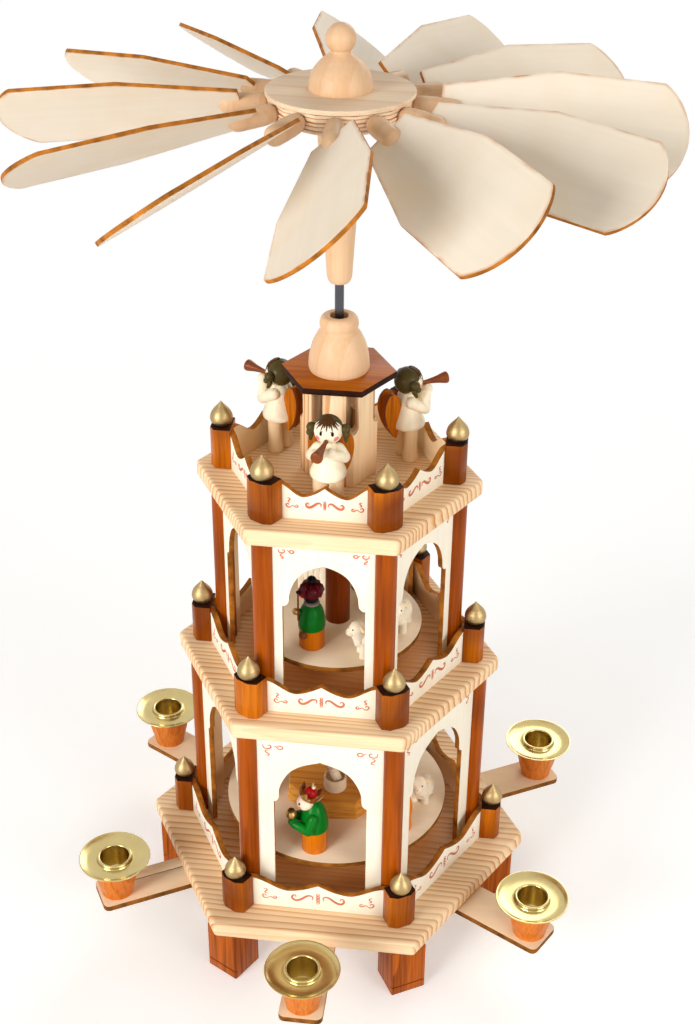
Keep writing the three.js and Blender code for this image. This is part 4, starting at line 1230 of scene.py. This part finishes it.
class PYRAMID_OT_rotor_head(bpy.types.Operator):
    """Adds the shaft, the ferrule, the hub and the ball on top"""
    bl_idname = "pyramid.rotor_head"
    bl_label = "Shaft and Hub"
    bl_options = {"REGISTER", "UNDO"}

    def execute(self, context):
        sizes = settings("rotor")
        radius = sizes.shaft / MM
        low, high = (corner.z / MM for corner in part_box("shaft"))
        shaft = turned("steel_shaft", "steel", [[0.3, low], [radius, low + 2.8], [radius, high]], 28)
        ride(shaft, "rotor", "steel", "shaft")

        wide, tall = sizes.ferrule / MM, (HUB_LOW - FERRULE_LOW) / MM
        ferrule = turned("ferrule_turned", "turned wood", [[2.3, 20], [2.3, 0.2]] + curved([
            [3.0, 0], [4.2, 0.35], [5.0, 1.6], [5.45, 3.6], [5.6, 6.3]], 3) + [
                [5.6 + (wide - 5.6) * t, 6.3 + (tall - 6.3) * t] for t in (0.25, 0.5, 0.75, 1)], 40)
        ride(settle(ferrule, shift(z=FERRULE_LOW)), "rotor", "turned_wood", "ferrule")

        corner, layer = sizes.hub / MM / math.cos(math.pi / 12), 1.6
        rings = []
        for k in range(5):
            r = corner - (0.2 if k % 2 else 0)
            rings += [[corner - 0.3, k * layer], [r, k * layer + 0.12], [r, (k + 1) * layer - 0.5],
                      [corner - 0.3, (k + 1) * layer - 0.4]]
        hub = turned("hub_layers", "hub pine", rings, 12)
        second_coat(hub, "glue line", lambda face: face.center.z / MM % layer > layer - 0.45)
        settle(hub, turn(math.degrees(sizes.bearing) + 15 - 90))
        holes = turned("holes", "scorched", [[2.7, 20], [2.7, 32]], 20)
        settle(holes, Matrix.Rotation(sizes.droop, 4, "Y") @ turn(90, "Y"))
        placed(holes, 0, 0, PEG_HEIGHT)
        cut(hub, [around(holes, "holes", [math.degrees(sizes.bearing) + 30 * i for i in range(12)])])
        smooth(hub, 20)
        cover, lid = sizes.cover / MM, (HUB_TOP - HUB_LOW) / MM
        disc = turned("cover", "hub pine", [
            [cover - 0.8, 8.05], [cover - 0.3, 8.05], [cover, 8.35], [cover, 8.75], [cover - 0.2, 8.95],
            [cover, 9.15], [cover, lid - 0.3], [cover - 0.3, lid]], 96)
        ride(settle(joined("hub_layers", [hub, disc]), shift(z=HUB_LOW)), "rotor", "pine", "hub")

        dome, knob = sizes.dome / MM, sizes.knob / MM
        centre = 14.4 + math.sqrt(knob ** 2 - 16) + 0.8
        rings = curved([[dome, 0], [dome + 0.2, 1], [dome - 0.1, 3], [0.93 * dome, 6], [0.79 * dome, 9],
                        [0.58 * dome, 11.9], [0.4 * dome, 13.6], [4.0, 14.6]], 4)
        rings += [[knob * math.cos(math.radians(e)), centre + knob * math.sin(math.radians(e))]
                  for e in range(-48, 91, 6)]
        cap = turned("dome_and_ball", "turned wood", rings, 56)
        ride(settle(cap, shift(z=HUB_TOP)), "rotor", "turned_wood", "knob")
        return {"FINISHED"}


# How far each wing is turned from the usual pitch (degrees)
WING_SET = (2, 2, -6, 5, 1, 4, -3, -4, 0, 5, -5, -2)


class PYRAMID_OT_wings(bpy.types.Operator):
    """Adds twelve plywood blades, each in the slot of a peg"""
    bl_idname = "pyramid.wings"
    bl_label = "Wings"
    bl_options = {"REGISTER", "UNDO"}

    def execute(self, context):
        sizes = settings("rotor")
        half, radius = sizes.blade_width / MM / 2, sizes.peg / MM
        sines = [math.sin(math.radians(a)) for a in range(-80, 81, 8)]
        tip = [(BLADE_END + BLADE_TIP * (1 - u * u) ** 0.8, u * half) for u in sines]
        root, root_half = BLADE_ROOT
        outline = [(root, -root_half), (BLADE_SHOULDER, -half), (BLADE_END, -half), *tip,
                   (BLADE_END, half), (BLADE_SHOULDER, half), (root, root_half)]
        blade = sawn("blade", outline, sizes.blade, "blade plywood", "burnt edge", 0.12 * MM)
        settle(blade, shift(z=-sizes.blade / 2))
        bordered(blade, 1.6 * MM)
        end = [(radius * math.cos(math.radians(e)) ** 0.9, 44.4 + 4.5 * math.sin(math.radians(e)))
               for e in range(0, 91, 10)]
        peg = turned("peg", "turned wood", [
            [2.3, 20.5], [2.5, 21], [2.5, 29.4], *curved([
                [0.8 * radius, 29.4], [0.86 * radius, 29.8], [0.93 * radius, 31], [radius, 33.5],
                [1.02 * radius, 38]], 3), *end], 28)
        settle(peg, turn(90, "Y"))
        wing = joined("wing", [blade, peg])
        for i, offset in enumerate(WING_SET, 1):
            place = (shift(z=HUB_LOW + PEG_HEIGHT * MM)
                     @ Matrix.Rotation(sizes.bearing + math.radians(30 * (i - 1)), 4, "Z")
                     @ Matrix.Rotation(sizes.droop, 4, "Y")
                     @ Matrix.Rotation(sizes.pitch + math.radians(offset), 4, "X"))
            ride(copied(wing, f"blade_and_peg_{i}", place), f"blade_{i}", "wing_plywood", f"wing_{i}")
        removed(wing)
        return {"FINISHED"}


class PYRAMID_OT_turntables(bpy.types.Operator):
    """Adds the two discs on the shaft and the eight-sided stage"""
    bl_idname = "pyramid.turntables"
    bl_label = "Turntables"
    bl_options = {"REGISTER", "UNDO"}

    def execute(self, context):
        sizes = settings("rotor")
        sleeve, t = sizes.sleeve / MM, sizes.disc / MM
        for storey, radius, top, foot in (("lower", LOWER_DISC_R, LOWER_DISC_TOP, 7),
                                          ("upper", UPPER_DISC_R, UPPER_DISC_TOP, 4)):
            r = radius / MM
            disc = turned("disc", "disc plywood", [
                [r - 0.2, -t], [r - 0.1, -t + 0.1], [r, -0.3], [r - 0.12, -0.05], [r - 0.2, 0]], 128)
            second_coat(disc, "arm edge", lambda face: abs(face.normal.z) <= FLAT)
            collar = turned("collar", "sleeve stain", [
                [sleeve - 0.4, -t - foot], [sleeve, -t - foot + 0.4], [sleeve, -t + 0.5]], 32)
            piece = joined(storey + "_disc", [disc, collar])
            ride(settle(piece, shift(z=top)), "rotor", "pine", storey + "_turntable")

        layers = []
        for k, inset in enumerate((0, 0.4)):
            r, t = sizes.stage / MM - inset, sizes.stage_layer / MM
            layer = turned("layer", "stage pine", [
                [r - 0.4, k * t], [r, k * t + 0.3], [r, (k + 1) * t - 0.5], [r - 0.5, (k + 1) * t]], 8)
            layers.append(smooth(settle(layer, turn(STAGE_CORNER - 90)), 20))
        stage = joined("octagon_stage", layers)
        ride(settle(stage, shift(z=LOWER_DISC_TOP)), "rotor", "pine")
        tall = turned("upper_sleeve", "sleeve stain", [
            [sleeve, 0], [sleeve, 37.5], [sleeve - 0.5, 38], [2.6, 38], [2.6, 30]], 36)
        ride(settle(tall, shift(z=UPPER_DISC_TOP)), "rotor", "pine")
        return {"FINISHED"}


# Figures, each facing -X with its foot at the origin


def crowned_king():
    """A king who bows over his gift, in a domed green coat and a tilted crown."""
    head, skull = (-4.4, 0, 29.6), 4.3
    parts = [
        turned("skirt", "orange wood", [[5.9, 0.05], [6.25, 0.5], [6.25, 13.2], [5.8, 13.6]], 32),
        turned("coat", "green", curved([
            [6.2, 12.9], [6.8, 13.4], [6.9, 15], [6.8, 18], [6.2, 21.5], [5.2, 24.8], [3.7, 27.6],
            [2.0, 29.2]], 3) + [[0.4, 29.7]], 36),
        ball("head", "skin", head, skull, segments=30),
        ball("gift", "gold", (-11.2, 0, 22.4), 2.7),
        placed(turned("gift_lid", "brown", [[1.5, 0], [1.8, 0.3], [1.5, 0.9], [0.4, 1.2]], 20),
               -11.2, 0, 24.4),
    ]
    for side in (-1, 1):
        parts += [
            limb("sleeve", "green", (-1.2, side * 5.0, 22.6), (-3.6, side * 6.2, 16.4), 2.7, 2.7),
            limb("forearm", "green", (-3.6, side * 6.2, 16.2), (-10.0, side * 2.4, 18.4), 2.7, 2.3),
            ball("cuff", "green", (-11.0, side * 1.8, 19.2), 2.0),
            dab("black", head, skull, side * 40, 14, 0.55, 0.7),
            dab("cheek", head, skull, side * 46, -14, 0.9, 0.8),
        ]
    crown = [
        turned("band", "gold", curved([[3.9, -0.2], [4.2, 0], [4.5, 0.9], [4.7, 1.9], [4.4, 2.2]], 2), 32),
        turned("cap", "red", curved([[2.9, 1.6], [3.2, 2.6], [3.0, 4.2], [2.2, 5.5], [0.8, 6.2]], 3), 24),
        ball("cap_bead", "skin", (0, 0, 6.6), 1.0),
    ]
    for k in range(7):
        petal = turned("petal", "gold" if k % 2 else "horn", curved([
            [1.5, 0], [1.6, 1.0], [1.2, 2.4], [0.3, 4.2]], 2), 10)
        settle(petal, Matrix.Scale(0.45, 4, (1, 0, 0)))
        settle(petal, shift(-4.5 * MM, 0, 1.2 * MM) @ turn(-22, "Y"))
        crown.append(settle(petal, turn(360 / 7 * k)))
    parts.append(settle(joined("crown", crown), shift(-2.9 * MM, 0, 32.0 * MM) @ turn(24, "Y")))
    return joined("crowned_king", parts)


def turbaned_king():
    """A king with a staff, in a domed green coat and a turban."""
    head = (-0.2, 0, 27.6)
    parts = [
        turned("skirt", "orange wood", [[5.6, 0.05], [5.95, 0.5], [5.95, 10.6], [5.6, 10.9]], 32),
        turned("coat", "green", curved([
            [5.9, 10.4], [6.3, 10.8], [6.4, 12.4], [6.3, 15.5], [5.7, 18.8], [4.6, 21.6],
            [3.0, 23.6]], 3), 36),
        turned("collar", "grey", curved([[3.0, 23.2], [3.7, 23.6], [3.6, 24.3], [2.6, 24.7]], 3), 28),
        ball("head", "black", head, 3.8, segments=28),
        turned("turban", "crimson", curved([
            [3.2, 28.4], [4.9, 28.8], [5.5, 30.2], [5.2, 32.2], [4.0, 33.9], [2.2, 34.8]], 3), 32),
        ball("turban_front", "red", (-3.9, 0.6, 29.3), 2.7, (0.9, 1.5, 0.62)),
        ball("knob", "black", (0, 0, 36.2), 2.3, (1, 1, 0.85)),
        limb("staff", "horn", (-6.6, -1, 15.5), (-6.6, -1, 30.2), 0.42, 0.42, 10),
        ball("staff_knob", "black", (-6.6, -1, 31.0), 0.95),
        ball("hand", "horn", (-4.9, -4.0, 8.8), 2.1),
        limb("forearm", "green", (-2.6, 2.2, 18.6), (-6.0, 0.2, 18.8), 1.8, 1.6),
        ball("gift", "gold", (-7.4, 0.6, 19.4), 1.7),
    ]
    for k in range(8):
        fold = [on_head((0, 0, 30.6), 5.25, 45 * k + 6 * t, -22 + 26 * t) for t in range(4)]
        parts.append(traced("fold", "crimson", fold, [0.5, 0.8, 0.8, 0.4]))
    return joined("turbaned_king", parts)


def robed(height, coat, skirt):
    """A turned figure with a round head, brown hair and folded arms."""
    neck = height - 10.2
    head = (-0.1, 0, height - 5.4)
    parts = [
        turned("skirt", skirt, curved([[5.3, 0.05], [5.6, 0.5], [5.5, 0.14 * neck], [5.4, 0.3 * neck],
                                       [5.5, 0.42 * neck]], 3), 28),
        turned("coat", coat, curved([[5.5, 0.4 * neck], [5.7, 0.5 * neck], [5.5, 0.65 * neck],
                                     [4.7, 0.83 * neck], [3.5, 0.95 * neck], [2.4, 1.03 * neck]], 3), 28),
        ball("head", "skin", head, 4.3, segments=28),
        hair_cap("brown", (0.5, 0, height - 5.1), 4.3, -1.0, height - 5),
    ]
    for side in (-1, 1):
        parts += [
            limb("sleeve", coat, (-1, side * 4, 0.78 * neck), (-5.4, side * 1.2, 0.62 * neck), 2.0, 1.7),
            dab("black", head, 4.3, side * 26, 4, 0.45, 0.6),
            dab("cheek", head, 4.3, side * 44, -16, 0.8, 0.75),
        ]
    return joined("robed", parts)


def sheep(length, height, girth):
    """A sheep whose fleece is turned in rings, facing -X."""
    back = height - girth
    bands = 7
    rings = []
    for k in range(8 * bands + 1):
        t = k / (8 * bands)
        body = girth * math.sin(math.pi * (0.1 + 0.82 * t)) ** 0.5
        groove = abs(math.sin(math.pi * bands * t)) ** 0.45
        rings.append([body * (0.86 + 0.16 * groove), length * (t - 0.5)])
    fleece = turned("fleece", "fleece", rings, 36)
    settle(fleece, turn(90, "Y"))
    head = (-0.43 * length, 0, height + 0.8)
    parts = [
        placed(fleece, 0, 0, back),
        limb("neck", "fleece", (-0.36 * length, 0, back + 0.35 * girth), head, 3.8, 3.4),
        ball("head", "cream", head, 3.7, segments=28),
        limb("muzzle", "cream", head, (head[0] - 2.9, 0, head[2] - 1.5), 2.9, 2.3),
        ball("tail", "fleece", (0.5 * length, 0, back + 0.2), 1.5),
    ]
    for side in (-1, 1):
        parts += [
            dab("black", head, 3.7, side * 44, 16, 0.38, 0.45),
            dab("black", (head[0] - 2.9, 0, head[2] - 1.5), 2.3, side * 24, 20, 0.2, 0.22),
            limb("ear", "leg wood", (head[0] + 1.4, side * 2.6, head[2] + 2.0),
                 (head[0] + 2.2, side * 3.9, head[2] + 0.6), 0.8, 0.9, 12),
        ]
        for x in (-0.3, 0.3):
            leg = turned("leg", "fleece", [[1.6, 0.05], [1.9, 0.4], [1.8, 2.5], [2.1, back]], 16)
            parts.append(placed(leg, x * length, side * 0.5 * girth, 0))
    return joined("sheep", parts)


def cradle():
    """A child in a turned tub."""
    head = (-1.1, 0, 12)
    parts = [
        turned("tub", "disc plywood", curved([
            [5.4, 0.05], [5.7, 0.5], [5.8, 1.4], [5.7, 5], [5.6, 7.3]], 2) + [
                [5.3, 7.5], [4.9, 7.4], [4.6, 3.6], [0.5, 3.5]], 36),
        limb("child", "cream", (1.8, 0, 3.6), (-0.6, 0, 9.4), 2.7, 2.4),
        ball("face", "skin", head, 2.6),
    ]
    for side in (-1, 1):
        parts.append(dab("black", head, 2.6, side * 26, 6, 0.3, 0.35))
    return joined("cradle", parts)


def stand_figure(piece, name, slot, reach, low, bearing, facing):
    """Stands a figure for a node at a distance from the axis (mm) and a bearing, facing another bearing."""
    place = turn(bearing) @ shift(reach * MM, 0, low) @ turn(facing - 180 - bearing)
    piece.name = name + "_figure"
    ride(settle(piece, place), "rotor", slot, name)


class PYRAMID_OT_lower_figures(bpy.types.Operator):
    """Adds the figures of the lower turntable"""
    bl_idname = "pyramid.lower_figures"
    bl_label = "Lower Figures"
    bl_options = {"REGISTER", "UNDO"}

    def execute(self, context):
        rim, low = LOWER_DISC_R / MM, LOWER_DISC_TOP
        stand_figure(crowned_king(), "lower_king", "green_paint", rim - 10.4, low, -96.3, 195)
        stand_figure(robed(33, "orange", "orange"), "kneeling_figure", "orange_paint",
                     rim - 12.5, low, -35.2, 150)
        stand_figure(robed(36, "red", "grey"), "standing_figure", "red_paint",
                     rim - 11.5, low, 202.5, 20)
        stand_figure(sheep(14, 12.6, 5.6), "lamb", "fleece_paint", rim - 11.3, low, -1.9, 255)
        sizes = settings("rotor")
        stand_figure(cradle(), "cradle", "turned_wood", sizes.stage / MM - 14.2,
                     low + 2 * sizes.stage_layer, -86.3, 180)
        return {"FINISHED"}


# Each sheep's length, height and girth, its distance from the rim (mm), its bearing and where it faces
FLOCK = (
    ((19, 14.5, 5.4), 7, -52.3, 200),
    ((16, 14, 5.2), 9.8, -6.6, 262),
    ((19, 14.5, 5.4), 11.8, 121.5, 170),
)


class PYRAMID_OT_upper_figures(bpy.types.Operator):
    """Adds the figures of the upper turntable"""
    bl_idname = "pyramid.upper_figures"
    bl_label = "Upper Figures"
    bl_options = {"REGISTER", "UNDO"}

    def execute(self, context):
        rim, low = UPPER_DISC_R / MM, UPPER_DISC_TOP
        stand_figure(turbaned_king(), "upper_king", "green_paint", rim - 15.2, low, -110.9, 200)
        stand_figure(robed(31, "brown", "brown"), "back_figure", "brown_paint", rim - 11.7, low, 72.8, 60)
        for i, (size, inset, bearing, facing) in enumerate(FLOCK, 1):
            stand_figure(sheep(*size), f"sheep_{i}", "fleece_paint", rim - inset, low, bearing, facing)
        return {"FINISHED"}


# Lamps: name, place, side (m) and power (W). They all point at LAMP_AIM
LAMPS = (
    ("key", (-1.9, -2.6, 1.1), 1.5, 88),
    ("fill", (2.4, -1.8, 1.0), 1.5, 44),
    ("rim", (0.8, 2.4, 1.6), 1.6, 26),
)
LAMP_AIM = (0, 0, 0.2)

# Camera: place (m), turn (degrees) and lens (mm)
CAMERA_PLACE = (0.0794, -0.61427, 0.59852)
CAMERA_TURN = (58.686, -0.4526, 7.2443)
LENS = 55.29

# Side of the floor, and the distances between which it fades to white (m)
FLOOR_SIDE = 12
FADE_START, FADE_END = 0.15, 0.7

# Light of the room, level with the pyramid and from above
LEVEL_LIGHT = (0.58, 0.545, 0.49, 1)
UPPER_LIGHT = (0.28, 0.26, 0.235, 1)


def chosen(tree, factor, first, second):
    """A blend of two shaders."""
    return node(tree, "MixShader", {0: factor, 1: first, 2: second}).outputs[0]


def glowing(tree, kind, strength):
    """White light of a strength, from a node of the kind."""
    return node(tree, kind, {"Color": WHITE, "Strength": strength}).outputs[0]


def white_to_camera(tree, lit, seen):
    """One shader where light falls on it, and another where the camera sees it or its mirror image."""
    rays = node(tree, "LightPath").outputs
    direct = maths(tree, "MAXIMUM", rays["Is Camera Ray"], rays["Is Glossy Ray"])
    direct = maths(tree, "MAXIMUM", direct, rays["Is Transmission Ray"])
    return chosen(tree, direct, lit, seen)


def floor_white():
    """White, with the pyramid's shadow near it and none further out."""
    made, tree, shader = blank(0.9)
    made.name = "floor_white"
    shader.inputs["Base Color"].default_value = (0.9, 0.9, 0.9, 1)
    lit = shader.outputs[0]
    near = node(tree, "AddShader", {0: lit, 1: glowing(tree, "Emission", 0.3)}).outputs[0]
    far = ramp(tree, reach_of(tree, place_on(tree)), FADE_START, FADE_END)
    seen = chosen(tree, far, near, glowing(tree, "Emission", 1.0))
    tree.links.new(white_to_camera(tree, lit, seen), tree.nodes["Material Output"].inputs["Surface"])
    return made


def room():
    """A room that lights the pyramid softly and looks white."""
    world = bpy.data.worlds.new("studio")
    world.use_nodes = True
    tree = world.node_tree
    walls = tree.nodes["Background"]
    upward = along_axes(tree, node(tree, "TexCoord").outputs["Generated"])["Z"]
    light = mixed(tree, ramp(tree, upward, 0.0, 0.9), LEVEL_LIGHT, UPPER_LIGHT)
    tree.links.new(light, walls.inputs["Color"])
    seen = white_to_camera(tree, walls.outputs[0], glowing(tree, "Background", 1.0))
    tree.links.new(seen, tree.nodes["World Output"].inputs["Surface"])
    return world


class PYRAMID_OT_stage(bpy.types.Operator):
    """Adds the floor, the lamps, the room and the camera"""
    bl_idname = "pyramid.stage"
    bl_label = "Floor, Lamps and Camera"
    bl_options = {"REGISTER", "UNDO"}

    def execute(self, context):
        scene = bpy.context.scene
        deselect()
        bpy.ops.mesh.primitive_plane_add(size=FLOOR_SIDE)
        floor = take("floor")
        floor.data.materials.append(floor_white())
        for name, place, side, watts in LAMPS:
            deselect()
            bpy.ops.object.light_add(type="AREA", location=place)
            lamp = take(name)
            lamp.data.size = side
            lamp.data.energy = watts
            lamp.rotation_euler = (Vector(LAMP_AIM) - Vector(place)).to_track_quat("-Z", "Y").to_euler()
        scene.world = room()
        deselect()
        bpy.ops.object.camera_add(
            location=CAMERA_PLACE, rotation=[math.radians(angle) for angle in CAMERA_TURN])
        camera = take("camera")
        camera.data.lens = LENS
        camera.data.clip_start = 0.01
        scene.camera = camera
        scene.view_settings.view_transform = "Standard"
        return {"FINISHED"}


GROUPS = {"stand": PyramidStand, "storeys": PyramidStoreys, "rotor": PyramidRotor, "woods": PyramidWoods,
          "paints": PyramidPaints}
OPERATORS = (PYRAMID_OT_stage, PYRAMID_OT_plates, PYRAMID_OT_feet, PYRAMID_OT_candle_arms,
             PYRAMID_OT_candle_sockets, PYRAMID_OT_arcades, PYRAMID_OT_galleries, PYRAMID_OT_turret,
             PYRAMID_OT_angels, PYRAMID_OT_rotor_head, PYRAMID_OT_wings, PYRAMID_OT_turntables,
             PYRAMID_OT_lower_figures, PYRAMID_OT_upper_figures)


class PYRAMID_PT_panel(bpy.types.Panel):
    """Lists the operators and the sizes they use"""
    bl_idname = "PYRAMID_PT_panel"
    bl_label = "Candle Pyramid"
    bl_space_type = "VIEW_3D"
    bl_region_type = "UI"
    bl_category = "Pyramid"

    def draw(self, context):
        for group, made in GROUPS.items():
            box = self.layout.box()
            box.label(text=group.capitalize())
            for name in made.__annotations__:
                box.prop(settings(group), name)
        for operator in OPERATORS:
            self.layout.operator(operator.bl_idname)


def register():
    for group in GROUPS.values():
        bpy.utils.register_class(group)
    for name, group in GROUPS.items():
        setattr(bpy.types.Scene, "pyramid_" + name, bpy.props.PointerProperty(type=group))
    for made in (*OPERATORS, PYRAMID_PT_panel):
        bpy.utils.register_class(made)


def unregister():
    for made in reversed((*OPERATORS, PYRAMID_PT_panel)):
        bpy.utils.unregister_class(made)
    for name, group in GROUPS.items():
        delattr(bpy.types.Scene, "pyramid_" + name)
        bpy.utils.unregister_class(group)


def main():
    register()
    for operator in OPERATORS:
        family, name = operator.bl_idname.split(".")
        getattr(getattr(bpy.ops, family), name)()


if __name__ == "__main__":
    main()
